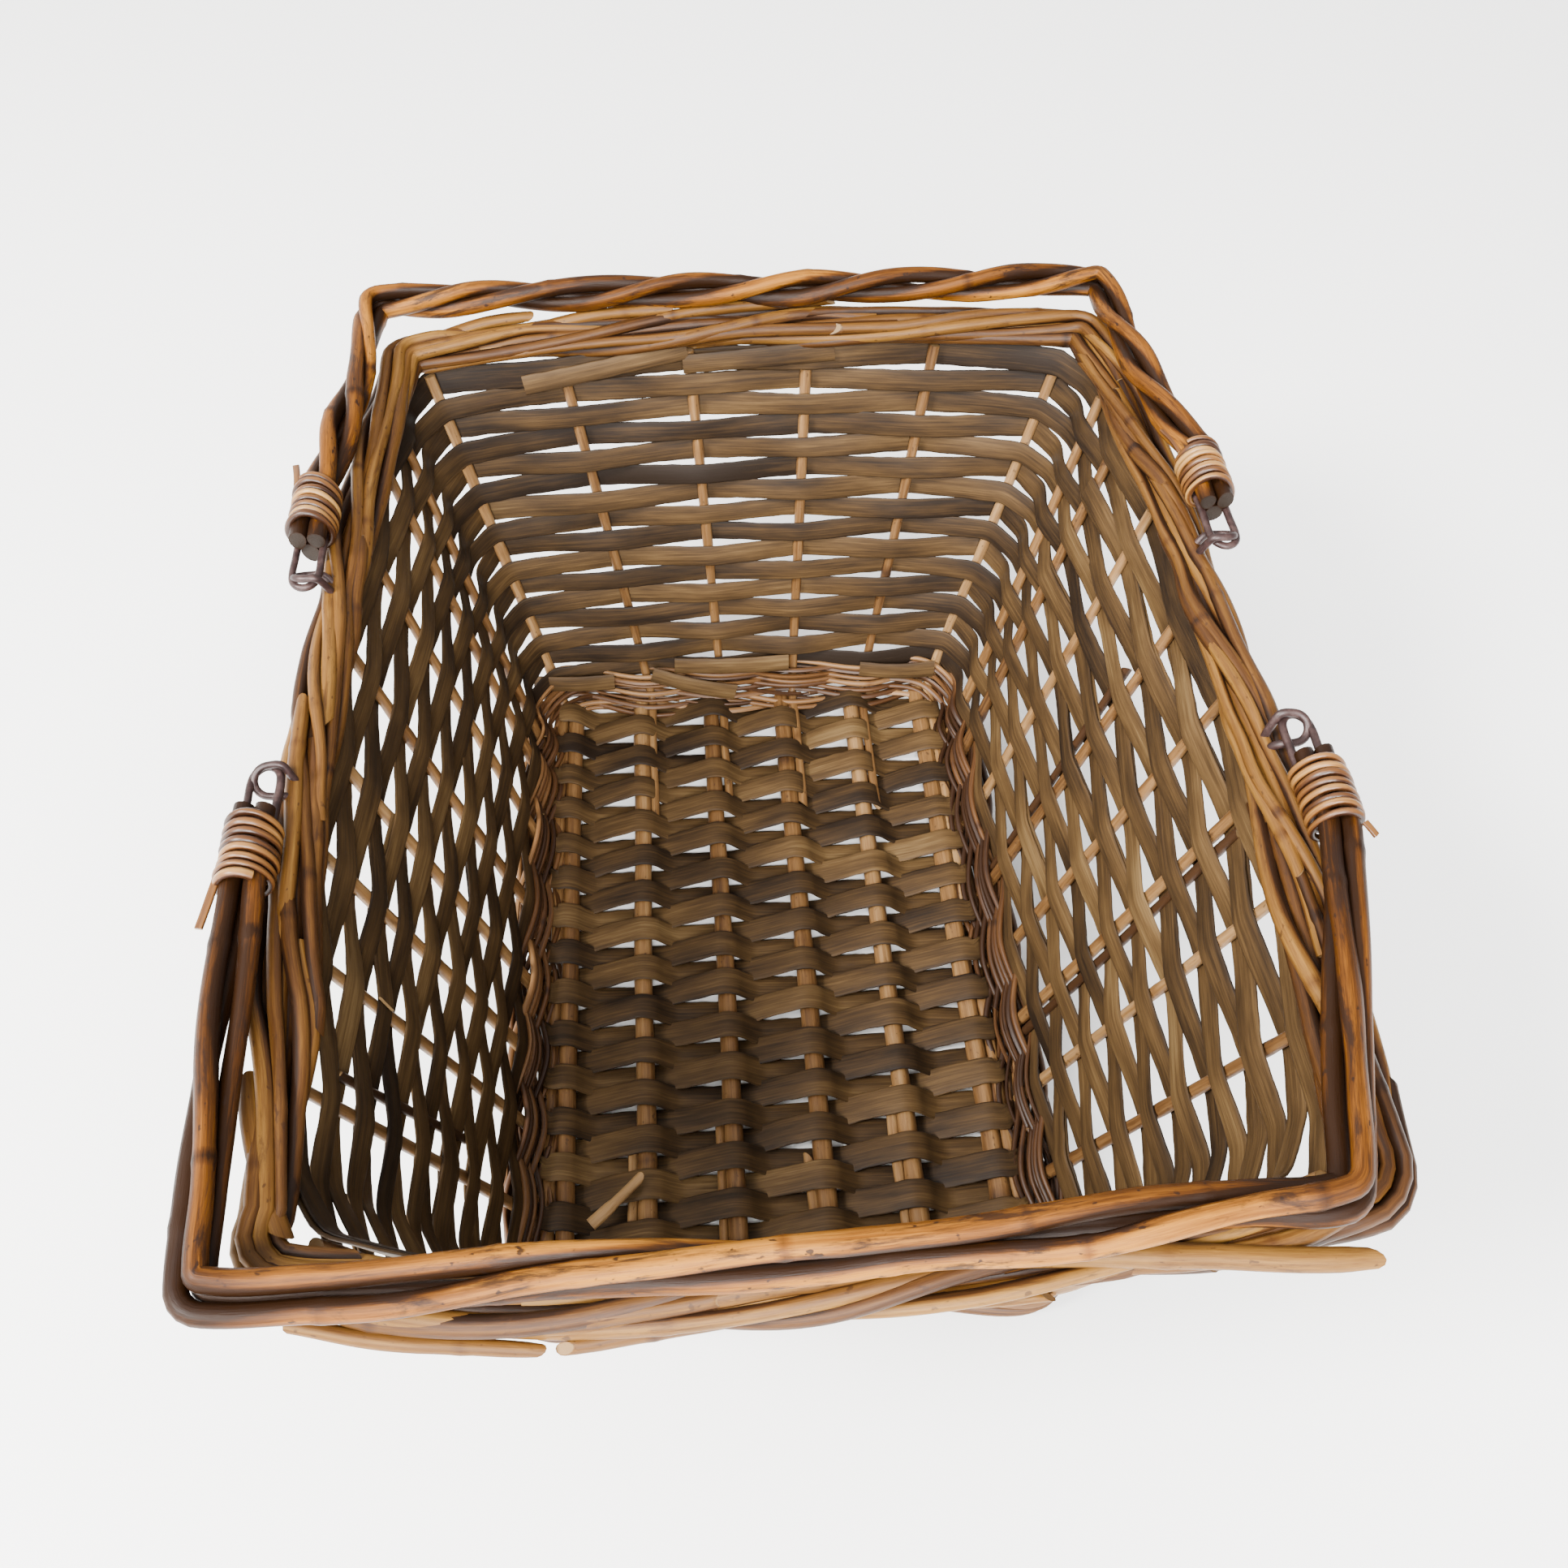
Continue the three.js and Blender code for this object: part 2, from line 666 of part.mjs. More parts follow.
function addBorder() {
  const channels = corners.map(([, xSign, ySign]) => (
    rod(stapleLine(xSign, ySign), wireRadius + rodGap)));
  const footDips = corners.flatMap(([, xSign, ySign]) => {
    const line = stapleLine(xSign, ySign);
    return [[line[0], line[1]], [line[line.length - 1], line[line.length - 2]]].map(([foot, next]) => {
      const past = foot.clone().add(foot.clone().sub(next).setLength(rodGap));
      return rod([past, next], wireRadius + rodGap);
    });
  });
  for (let rodNumber = 0; rodNumber < borderRods; rodNumber += 1) {
    const geometry = cutBy(borderRodGeometry(rodNumber), [...channels, ...footDips]);
    addPiece(basket, `border_rod_${rodNumber + 1}`, geometry, 'border');
  }
  for (const [name, xSign, ySign] of corners) {
    addPiece(basket, `${name}_staple`, rod(stapleLine(xSign, ySign), wireRadius), 'wire');
  }
}

// Handles, built flat: x across, y outward from the hinge line, z up. The wire lies in plane zero

function handleLine() {
  const half = [];
  const armEnd = handleReach - handleCornerRadius;
  for (const y of [rodStart, bindingEnd]) half.push(new THREE.Vector3(hingeHalfSpan, y, eyeDrop));
  for (let i = 1; i <= handleArmSteps; i += 1) {
    const share = i / handleArmSteps;
    const x = hingeHalfSpan + (handleHalfWidth - hingeHalfSpan) * share;
    half.push(new THREE.Vector3(x, bindingEnd + (armEnd - bindingEnd) * share, eyeDrop));
  }
  for (let i = 1; i <= handleCornerSteps; i += 1) {
    const angle = Math.PI / 2 * i / handleCornerSteps;
    const x = handleHalfWidth - handleCornerRadius + handleCornerRadius * Math.cos(angle);
    half.push(new THREE.Vector3(x, armEnd + handleCornerRadius * Math.sin(angle), eyeDrop));
  }
  const barHalf = handleHalfWidth - handleCornerRadius;
  const bar = Array.from({ length: handleBarSteps - 1 }, (_, i) => (
    new THREE.Vector3(barHalf * (1 - 2 * (i + 1) / handleBarSteps), handleReach, eyeDrop)));
  return [...half, ...bar, ...half.slice().reverse().map((point) => mirrored(point, -1, 1))];
}

function handleRod(rodNumber) {
  const frames = withFrames(handleLine(), false, up);
  const twistStart = frames[1].distance;
  const twistEnd = frames[frames.length - 2].distance;
  const rings = frames.map(({ point, out, distance }) => {
    const travelled = THREE.MathUtils.clamp(distance, twistStart, twistEnd) - twistStart;
    const twist = handleTurns * travelled / (twistEnd - twistStart);
    const angle = 2 * Math.PI * (twist + rodNumber / handleRods - 1 / 4);
    const centre = point.clone();
    centre.addScaledVector(out, handleSpread * Math.cos(angle));
    centre.addScaledVector(up, handleSpread * Math.sin(angle));
    return roundRing(centre, out, up, handleRodRadius, rodSides);
  });
  return loft(rings, false);
}

function windingRings(xSign) {
  const rings = [];
  const steps = bindingTurns * bindingStepsPerTurn;
  const along = new THREE.Vector3(0, 1, 0);
  for (let i = 0; i <= steps; i += 1) {
    const turn = i / bindingStepsPerTurn;
    const angle = 2 * Math.PI * (turn - 1 / 4);
    const out = new THREE.Vector3(Math.cos(angle), 0, Math.sin(angle));
    const y = bindingStart + bindingStripWidth / 2 + bindingPitch * turn;
    const centre = new THREE.Vector3(xSign * hingeHalfSpan, y, eyeDrop).addScaledVector(out, windingRadius);
    rings.push(flatRing(centre, out, along, bindingStripThickness, bindingStripWidth));
  }
  return rings;
}

// Least distance between two turns of a winding, measured between the edges of its strip
function leastSelfGap(rings) {
  let least = Infinity;
  const apart = Math.ceil(bindingStepsPerTurn * 3 / 4);
  for (let i = 0; i < rings.length; i += 1) {
    for (let j = i + apart; j < Math.min(rings.length, i + 2 * apart); j += 1) {
      for (const a of rings[i]) {
        for (const b of rings[j]) least = Math.min(least, a.distanceTo(b));
      }
    }
  }
  return least;
}

function addHandle(name, ySign) {
  const handle = new THREE.Group();
  handle.position.set(0, ySign * hingeOffset, hingeHeight);
  handle.rotation.z = ySign > 0 ? 0 : Math.PI;
  basket.add(handle);
  for (let rodNumber = 0; rodNumber < handleRods; rodNumber += 1) {
    addPiece(handle, `${name}_handle_rod_${rodNumber + 1}`, handleRod(rodNumber), 'handle');
  }
  for (const sideName of ['left', 'right']) {
    const xSign = (sideName === 'right' ? 1 : -1) * ySign;
    const winding = windingRings(xSign);
    const gap = leastSelfGap(winding).toFixed(2);
    console.log(`${name} ${sideName} binding, least gap to itself: ${gap} mm`);
    addPiece(handle, `${name}_${sideName}_binding`, loft(winding, false), 'binding');
    addPiece(handle, `${name}_${sideName}_eye`, rod(eyeLine(xSign), wireRadius), 'wire');
  }
}

addSticks();
addPiece(basket, 'base_weave', baseWeave(), 'strip');
addUprights();
addWalls();
addBorder();
addHandle('near', -1);
addHandle('far', 1);

export default basket;
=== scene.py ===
"""Looks of a flared wicker basket with two drop handles. Lengths are in millimetres until a mesh is made."""
import math
import random

import bpy
import numpy as np
from mathutils import Euler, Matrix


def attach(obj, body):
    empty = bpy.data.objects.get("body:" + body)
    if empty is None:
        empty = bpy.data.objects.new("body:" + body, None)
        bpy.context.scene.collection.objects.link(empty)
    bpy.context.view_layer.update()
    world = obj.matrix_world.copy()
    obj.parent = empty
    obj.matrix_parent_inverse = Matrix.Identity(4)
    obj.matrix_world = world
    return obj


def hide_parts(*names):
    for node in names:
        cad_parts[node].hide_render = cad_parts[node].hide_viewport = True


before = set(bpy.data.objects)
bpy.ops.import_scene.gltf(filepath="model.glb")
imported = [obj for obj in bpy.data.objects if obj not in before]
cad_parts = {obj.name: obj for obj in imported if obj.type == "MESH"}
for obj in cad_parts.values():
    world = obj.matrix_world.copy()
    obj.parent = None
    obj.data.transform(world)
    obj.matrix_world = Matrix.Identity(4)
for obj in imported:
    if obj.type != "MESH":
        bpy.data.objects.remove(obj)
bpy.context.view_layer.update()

TAU = 2 * math.pi
UP = np.array([0.0, 0.0, 1.0])
METRES = 0.001

# The ends of the basket by the sign of their y, and its sides by the sign of their x
ENDS = {-1: "near", 1: "far"}
SIDES = {-1: "left", 1: "right"}

# Sizes that the CAD part has too: rim, base, stakes and strips
RIM_X = 156
RIM_Y = 206
RIM_Z = 200
RIM_BOW = 10
RIM_CORNER = 9.5
STAKE_CORNER = 20
CORNER_SWELL = 5
BASE_X = 105.7
BASE_Y = 165
BASE_CORNER = 20
STICKS = 6
STICK_GAP = 37.6
STICK_Z = 5.65
STICK_R = 4.1
STAKE_R = 2.6
STRIP_T = 1.15
SIDE_SHARES = (-0.82, -0.56, -0.335, -0.09, 0.18, 0.485, 0.745, 0.9)
END_SHARES = (-0.6, -0.19, 0.19, 0.6)
CORNER_SHARE = 0.64
ROWS = 16
FIRST_ROW = 25.85
ROW_PITCH = 10.68
BASE_ROWS = 30
BASE_PITCH = 10.65

# Sizes that the CAD part has too: hinges and handles
HINGE_X = 175
HINGE_Y = 49
HINGE_Z = 212.77
EYE_GAP = 4.88
EYE_DROP = 2.82
EYE_BIGHT = 6.48
EYE_SETBACK = 0.51
STAPLE_TILT = 0.627
STAPLE_HALF = 5.27
STAPLE_BIGHT = 5.34
STAPLE_ROOT_X = 165.43
LOOP_OFFSET = 4.0
WIRE_R = 1.42
HANDLE_REACH = 174
HANDLE_X = 167
HANDLE_CORNER = 5.5
ROD_START = 14
BIND_START = 19
BIND_END = 46.3

# The old basket stands a little askew: its base lies left of the middle and its rim right of it
BASE_SHIFT = -2.5
RIM_SHIFT = 4.0

# How much painted shade darkens a rod where it lies against its neighbours, and how far round that begins and
# reaches
PAINTED_CREVICE_SHADE = 1.5
CREVICE_SHADE_FROM = 0.35
CREVICE_SHADE_SPAN = 0.7


# Lines and irregular numbers
def unit(vectors):
    return vectors / np.maximum(np.linalg.norm(vectors, axis=-1, keepdims=True), 1e-9)


def fade(values, start, length):
    """0 up to start, then rising to 1 over that length."""
    return np.clip((values - start) / length, 0, 1)


def lean(points):
    points = np.array(points, float)
    points[..., 0] += BASE_SHIFT + (RIM_SHIFT - BASE_SHIFT) * fade(points[..., 2], 0, RIM_Z)
    return points


def spline(keys, step=2.5, loop=False):
    """A smooth line through rows whose first three numbers are a point; further numbers are carried along."""
    keys = np.asarray(keys, float)
    if loop:
        keys = np.vstack([keys[-1:], keys, keys[:2]])
    else:
        keys = np.vstack([2 * keys[:1] - keys[1:2], keys, 2 * keys[-1:] - keys[-2:-1]])
    gaps = np.maximum(np.linalg.norm(np.diff(keys[:, :3], axis=0), axis=1), 1e-6)
    slopes = np.diff(keys, axis=0) / gaps[:, None]
    before, after = gaps[:-1, None], gaps[1:, None]
    tangent = (slopes[:-1] * after + slopes[1:] * before) / (before + after)
    rows = []
    for i in range(1, len(keys) - 2):
        count = max(1, int(round(gaps[i] / step)))
        t = (np.arange(count) / count)[:, None]
        leave, arrive = tangent[i - 1] * gaps[i], tangent[i] * gaps[i]
        start = (2 * t**3 - 3 * t**2 + 1) * keys[i] + (t**3 - 2 * t**2 + t) * leave
        rows.append(start + (3 * t**2 - 2 * t**3) * keys[i + 1] + (t**3 - t**2) * arrive)
    if not loop:
        rows.append(keys[-2:-1])
    return np.vstack(rows)


def taut(keys, reach):
    """Straight runs between the keys, each bend rounded over its reach on both sides."""
    most, pull = 0.45, 0.72
    keys = np.asarray(keys, float)
    rows = [keys[0]]
    for a, b, c in zip(keys[:-2], keys[1:-1], keys[2:]):
        start = b + (a - b) * min(reach / np.linalg.norm(b[:3] - a[:3]), most)
        end = b + (c - b) * min(reach / np.linalg.norm(c[:3] - b[:3]), most)
        rows += [start, pull * b + (1 - pull) / 2 * (start + end), end]
    return spline(rows + [keys[-1]])


def travel(points):
    """The distance along a line at each of its points."""
    return np.concatenate([[0], np.cumsum(np.linalg.norm(np.diff(points, axis=0), axis=1))])


def tangents(points, loop=False):
    if loop:
        return unit(np.roll(points, -1, 0) - np.roll(points, 1, 0))
    return unit(np.gradient(points, axis=0))


def wobble(along, size, seed, length=None):
    """Smooth irregular numbers, about -1 to 1, that change over about that size; closed over a length."""
    dice = random.Random(seed)
    waves, height = 5, 2.2
    span = length or 1000.0
    total = np.zeros_like(along, dtype=float)
    for _ in range(waves):
        cycles = span / size * dice.uniform(0.35, 1.1)
        if length:
            cycles = max(1, round(cycles))
        total += np.sin(TAU * (along / span * cycles + dice.random()))
    return total / height


def round_corner(x, y, radius, share):
    """A point of the rounded corner at x, y, which turns from the side, share 0, to the end, share 1."""
    turn = share * TAU / 4
    return x + radius * (math.cos(turn) - 1), y + radius * (math.sin(turn) - 1)


def crooked(points, seed, size):
    """Gives a line the slight straight-and-kink shape of a rod that was bent by hand."""
    spacing, still_end = 45.0, 25
    dice = random.Random(seed)
    along = travel(points)
    stations = [0.0]
    while stations[-1] < along[-1]:
        stations.append(stations[-1] + spacing * dice.uniform(0.6, 1.5))
    moved = points.copy()
    free = fade(np.minimum(along, along[-1] - along), 0, still_end)
    for axis in range(3):
        bends = [dice.gauss(0, size) for _ in stations]
        moved[:, axis] += free * np.interp(along, stations, bends)
    return moved


def new_object(name, data):
    obj = bpy.data.objects.new(name, data)
    bpy.context.scene.collection.objects.link(obj)
    return obj


# Skins of rods and strips
class Skin:
    """Collects strands into one mesh, with each point's place along its strand for the wood's grain."""

    def __init__(self):
        self.points, self.faces, self.grain, self.tone, self.cut = [], [], [], [], []
        self.count = 0

    def keep(self, points, grain, tone, cut):
        self.points.append(points)
        self.grain.append(grain)
        self.tone.append(tone)
        self.cut.append(np.full(len(points), cut))
        self.count += len(points)

    def add(self, rings, grain, tone, inset=0.8):
        """Adds a strand of rings and closes both its ends with a rim that is set in and a middle point."""
        n, m = rings.shape[:2]
        base = self.count
        i, j = np.meshgrid(np.arange(n - 1), np.arange(m), indexing="ij")
        k, up = (j + 1) % m, i + 1
        quads = np.stack([base + i * m + j, base + i * m + k, base + up * m + k, base + up * m + j], -1)
        self.faces += quads.reshape(-1, 4).tolist()
        tone = np.broadcast_to(tone, (n, m))
        self.keep(rings.reshape(-1, 3), grain.reshape(-1, 3), tone.reshape(-1), 0.0)
        for end, ring in ((0, rings[0]), (n - 1, rings[-1])):
            middle = ring.mean(0)
            inner = middle + (ring - middle) * inset
            first, rim = self.count, base + end * m
            end_grain = np.vstack([grain[end], grain[end].mean(0)])
            self.keep(np.vstack([inner, middle]), end_grain, np.full(m + 1, tone[end, 0]), 1.0)
            for a in range(m):
                b = (a + 1) % m
                quad = [rim + a, first + a, first + b, rim + b]
                tri = [first + a, first + m, first + b]
                self.faces += [quad, tri] if end == 0 else [quad[::-1], tri[::-1]]

    def press(self, level):
        """Flattens what lies below a level, as a floor does."""
        for points in self.points:
            points[:, 2] = np.maximum(points[:, 2], level)

    def piece(self, node, material, body="basket"):
        """Makes the mesh, in metres, that stands for a CAD node and rides on its body."""
        mesh = bpy.data.meshes.new("look_" + node)
        mesh.from_pydata((np.vstack(self.points) * METRES).tolist(), [], self.faces)
        grain = mesh.attributes.new("grain", "FLOAT_VECTOR", "POINT")
        grain.data.foreach_set("vector", np.ravel(np.vstack(self.grain) * METRES).astype(np.float32))
        for name, parts in (("tone", self.tone), ("cut", self.cut)):
            numbers = mesh.attributes.new(name, "FLOAT", "POINT")
            numbers.data.foreach_set("value", np.concatenate(parts).astype(np.float32))
        mesh.polygons.foreach_set("use_smooth", [True] * len(mesh.polygons))
        mesh.set_sharp_from_angle(angle=math.radians(55))
        mesh.update()
        mesh.materials.append(material)
        obj = new_object("look_" + node, mesh)
        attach(obj, body)
        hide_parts(node)


def coat(along, x, y, dice):
    """Grain coordinates of every ring point, moved to a place of their own for each strand."""
    place = np.array([dice.uniform(0, 900) for _ in range(3)])
    return np.stack([np.broadcast_to(along[:, None], x.shape), x, y], -1) + place


def add_knots(dice, along, radius, tone):
    """Swells and darkens a rod where its side shoots grew, at irregular distances."""
    swelling, long, dark_long = 0.1, 2.0, 1.3
    at = dice.uniform(20, 70)
    while at < along[-1] - 12:
        radius += radius * swelling * np.exp(-(((along - at) / long) ** 2))
        tone -= dice.uniform(0.0, 0.7) * np.exp(-(((along - at) / dark_long) ** 2))
        at += dice.uniform(45, 120)


def carried(ways):
    """A direction across each tangent, which turns as little as it can along the line."""
    across = np.empty_like(ways)
    last = np.cross(ways[0], UP if abs(ways[0][2]) < 0.8 else np.array([1.0, 0, 0]))
    for i, way in enumerate(ways):
        last = unit(last - way * last.dot(way))
        across[i] = last
    return across


def rod(skin, points, radius, seed, tone=0.0, sides=12, lumps=0.05, ends=(0.0, 0.0), out=None):
    """A willow rod. ends are the slopes of its cuts, out the side that faces out of its bundle; the sides
    turned away from out get painted shade.
    """
    dice = random.Random(seed)
    along = travel(points)
    radius = radius * (1 + lumps * wobble(along, 40, seed + 1))
    tone = tone + np.zeros_like(along)
    if lumps:
        add_knots(dice, along, radius, tone)
    keep = np.ones(len(along), bool)
    for slope, end in zip(ends, (0, -1)):
        if slope:
            keep &= np.abs(along - along[end]) > 1.6 * slope * radius[end]
            keep[end] = True
    points, along, radius, tone = points[keep], along[keep], radius[keep], tone[keep][:, None]
    ways = tangents(points)
    across = carried(ways)
    other = np.cross(ways, across)
    angle = TAU * np.arange(sides) / sides
    phase = TAU * dice.random()
    oval = 1 + 0.07 * np.cos(2 * (angle - phase)) + 0.03 * np.cos(3 * angle + phase)
    x = radius[:, None] * (np.cos(angle) * oval)
    y = radius[:, None] * (np.sin(angle) * oval)
    rings = points[:, None] + across[:, None] * x[..., None] + other[:, None] * y[..., None]
    if out is not None:
        facing = np.sum(across * out[keep], 1)[:, None] * np.cos(angle)
        facing = facing + np.sum(other * out[keep], 1)[:, None] * np.sin(angle)
        # Painted shade on the sides that turn in towards the neighbouring rods
        tone = tone - PAINTED_CREVICE_SHADE * np.clip((CREVICE_SHADE_FROM - facing) / CREVICE_SHADE_SPAN, 0, 1) ** 1.5
    for slope, end, sign in zip(ends, (0, -1), (1, -1)):
        if slope:
            turn = dice.uniform(0, TAU)
            lift = slope * (x[end] * math.cos(turn) + y[end] * math.sin(turn) + radius[end])
            rings[end] += ways[end] * (sign * lift)[:, None]
    skin.add(rings, coat(along, x, y, dice), tone)


# Outline of a split strip with rounded edges: share of the half width, share of the half thickness
SECTION = (
    (-1, 0), (-0.97, 0.62), (-0.86, 0.97), (-0.3, 1), (0.3, 1), (0.86, 0.97), (0.97, 0.62),
    (1, 0), (0.97, -0.62), (0.86, -0.97), (0, -1), (-0.86, -0.97), (-0.97, -0.62),
)


def strip(skin, points, normals, width, seed, tone=0.0, thickness=STRIP_T, ragged=0.07, roll=0.0, crown=0.0,
          edge_shade=0.3):
    """A flat split strip along points, facing along normals. width is a number or one per point. edge_shade
    darkens both edges with painted shade where the strip meets its neighbours.
    """
    dice = random.Random(seed)
    along = travel(points)
    ways = tangents(points)
    faces = unit(normals - ways * np.sum(normals * ways, 1, keepdims=True))
    if roll:
        turn = np.radians(roll) * wobble(along, 60, seed + 5)[:, None]
        faces = faces * np.cos(turn) + np.cross(ways, faces) * np.sin(turn)
    section = np.array(SECTION)
    half = width / 2 + np.zeros_like(along)
    left, right = (
        half * (1 + ragged * wobble(along, 70, seed + n) + 0.02 * wobble(along, 9, seed + n + 1))
        for n in (1, 3)
    )
    x = np.where(section[:, 0] < 0, left[:, None], right[:, None]) * section[:, 0]
    y = section[:, 1] * thickness / 2 * (1 + 0.1 * wobble(along, 50, seed + 6))[:, None]
    bent = y - crown * (x / half[:, None]) ** 2
    rings = points[:, None] + np.cross(ways, faces)[:, None] * x[..., None] + faces[:, None] * bent[..., None]
    # Painted shade along both edges
    tone = (tone + np.zeros_like(along))[:, None] - edge_shade * np.abs(section[:, 0]) ** 8
    skin.add(rings, coat(along, x, y, dice), tone, inset=0.9)


# Materials
class Graph:
    """The nodes of a material or a world, with short ways to add and join them."""

    def __init__(self, tree):
        self.tree = tree

    def feed(self, socket, value):
        """Gives an input a fixed value, or joins it to the output of another node."""
        if isinstance(value, bpy.types.NodeSocket):
            self.tree.links.new(value, socket)
        else:
            socket.default_value = value

    def node(self, kind, **values):
        """Adds a node and gives its properties, or else its inputs, their values by name."""
        made = self.tree.nodes.new("ShaderNode" + kind)
        for key, value in values.items():
            if hasattr(made, key):
                setattr(made, key, value)
            else:
                self.feed(made.inputs[key.replace("_", " ")], value)
        return made

    def attribute(self, name, output):
        return self.node("Attribute", attribute_name=name).outputs[output]

    def ramp(self, source, stops):
        made = self.node("ValToRGB")
        self.feed(made.inputs[0], source)
        elements = made.color_ramp.elements
        while len(elements) < len(stops):
            elements.new(0.5)
        for element, (at, colour) in zip(elements, stops):
            element.position = at
            element.color = (*colour, 1) if isinstance(colour, tuple) else (colour, colour, colour, 1)
        return made.outputs[0]

    def noise(self, scale, detail, **values):
        return self.node("TexNoise", Scale=scale, Detail=detail, **values).outputs["Fac"]

    def maths(self, operation, *values, kind="Math"):
        made = self.node(kind, operation=operation)
        for socket, value in zip(made.inputs, values):
            self.feed(socket, value)
        return made.outputs[0]

    def stained(self, amount, colour, stain):
        """A colour that goes over into a plain stain by an amount."""
        made = self.node("Mix", data_type="RGBA")
        for number, value in ((0, amount), (6, colour), (7, (*stain, 1))):
            self.feed(made.inputs[number], value)
        return made.outputs[2]

    def between(self, source, low, high, **values):
        """Spreads a source from low to high."""
        return self.node("MapRange", Value=source, To_Min=low, To_Max=high, **values).outputs[0]

    def relief(self, height, strength, distance):
        return self.node("Bump", Height=height, Strength=strength, Distance=distance).outputs[0]

    def surface(self, **values):
        bsdf = self.node("BsdfPrincipled", **values)
        self.node("OutputMaterial", Surface=bsdf.outputs[0])


def new_material(name):
    made = bpy.data.materials.new(name)
    made.use_nodes = True
    made.node_tree.nodes.clear()
    return made, Graph(made.node_tree)


def wood(name, colours, streak, rough, bump, shine, patch=(9, 120), blotch=(20, 150), fibre=(160, 3200),
         stain=(0.62, 0.75, (0.02, 0.01, 0.005), 0.7), spread=0.35, specks=0.0, pith=(0.2, 0.12, 0.05)):
    """Split or round willow, with colours from dark to light over the grain.

    streak, patch, blotch and fibre are noise scales along and across the grain. stain is the noise levels
    between which a stain grows, its colour and its strength. pith is the colour of a cut end.
    """
    made, graph = new_material(name)
    grain = graph.attribute("grain", "Vector")
    tone = graph.attribute("tone", "Fac")
    cut = graph.attribute("cut", "Fac")

    def noise(scale, detail, roughness, distortion=0.0):
        spot = graph.maths("MULTIPLY", grain, (scale[0], scale[1], scale[1]), kind="VectorMath")
        return graph.noise(1.0, detail, Vector=spot, Roughness=roughness, Distortion=distortion)

    streaks = noise(streak, 6.0, 0.65, 0.2)
    patches = noise(patch, 3.0, 0.55)
    fibres = noise(fibre, 3.0, 0.6)
    level = graph.maths("MULTIPLY_ADD", streaks, 0.62, graph.maths("MULTIPLY_ADD", patches, 0.62, -0.12))
    level = graph.maths("ADD", level, graph.maths("MULTIPLY", tone, spread))
    level = graph.maths("ADD", level, graph.maths("MULTIPLY_ADD", fibres, 0.26, -0.13))
    last = len(colours) - 1
    colour = graph.ramp(level, [(0.22 + 0.56 * i / last, shade) for i, shade in enumerate(colours)])
    low, high, dirt, strength = stain
    stains = graph.ramp(noise(blotch, 6.0, 0.7, 0.6), [(low, 0.0), (high, 1.0)])
    colour = graph.stained(graph.maths("MULTIPLY", stains, strength), colour, dirt)
    if specks:
        dots = graph.ramp(noise((260, 420), 2.0, 0.5), [(0.66, 0.0), (0.72, 1.0)])
        colour = graph.stained(graph.maths("MULTIPLY", dots, specks), colour, dirt)
    colour = graph.stained(graph.maths("MULTIPLY", cut, 0.8), colour, pith)
    height = graph.maths("ADD", graph.maths("MULTIPLY", streaks, 0.7), graph.maths("MULTIPLY", fibres, 0.4))
    graph.surface(Base_Color=colour, Roughness=graph.between(streaks, *rough), Specular_IOR_Level=shine,
                  Normal=graph.relief(height, bump, 0.0006))
    return made


def wire_metal():
    """Dulled dark brown wire."""
    made, graph = new_material("hinge_wire")
    patches = graph.noise(260.0, 5.0, Vector=graph.attribute("grain", "Vector"), Roughness=0.65)
    shades = [(0.3, (0.012, 0.006, 0.0055)), (0.5, (0.03, 0.014, 0.0125)), (0.72, (0.075, 0.042, 0.037))]
    graph.surface(Base_Color=graph.ramp(patches, shades), Roughness=graph.between(patches, 0.32, 0.6),
                  Metallic=0.35, Normal=graph.relief(patches, 0.3, 0.0002))
    return made


STRIP = wood(
    "split_strip",
    [(0.0085, 0.00388, 0.00108), (0.0227, 0.0114, 0.00334), (0.0425, 0.022, 0.00663),
     (0.0709, 0.0388, 0.0128), (0.113, 0.068, 0.0255)],
    streak=(24, 950), rough=(0.55, 0.75), bump=0.2, shine=0.2, patch=(24, 120), fibre=(70, 1700), spread=0.42,
)
STAKE = wood(
    "stake_willow",
    [(0.0273, 0.0111, 0.00338), (0.0818, 0.0362, 0.00987), (0.15, 0.0752, 0.0249), (0.23, 0.133, 0.0545)],
    streak=(22, 700), rough=(0.4, 0.6), bump=0.2, shine=0.25, specks=0.6,
)
TWIG = wood(
    "thin_twig",
    [(0.0192, 0.0068, 0.0018), (0.0574, 0.0223, 0.00615), (0.114, 0.051, 0.0158), (0.196, 0.102, 0.0396)],
    streak=(25, 900), rough=(0.38, 0.6), bump=0.2, shine=0.3,
)
BORDER = wood(
    "border_willow",
    [(0.012, 0.00404, 0.000947), (0.0458, 0.0163, 0.00264), (0.0989, 0.0412, 0.00642),
     (0.176, 0.0845, 0.0153)],
    streak=(16, 600), rough=(0.4, 0.62), bump=0.3, shine=0.2, patch=(9, 110), blotch=(30, 170), specks=0.7,
    stain=(0.57, 0.68, (0.024, 0.009, 0.003), 0.75),
)
HANDLE = wood(
    "handle_willow",
    [(0.0124, 0.004, 0.000586), (0.0511, 0.0159, 0.00146), (0.136, 0.0458, 0.0036), (0.268, 0.105, 0.00904)],
    streak=(14, 600), rough=(0.34, 0.6), bump=0.4, shine=0.14, patch=(14, 90), blotch=(34, 190), specks=0.9,
    stain=(0.51, 0.62, (0.012, 0.005, 0.0025), 0.88), pith=(0.013, 0.009, 0.006),
)
BINDING = wood(
    "split_binding",
    [(0.0195, 0.00581, 0.00136), (0.0776, 0.0271, 0.00549), (0.165, 0.0684, 0.0143), (0.301, 0.155, 0.0411)],
    streak=(30, 1200), rough=(0.28, 0.45), bump=0.25, shine=0.4,
)
WIRE = wire_metal()


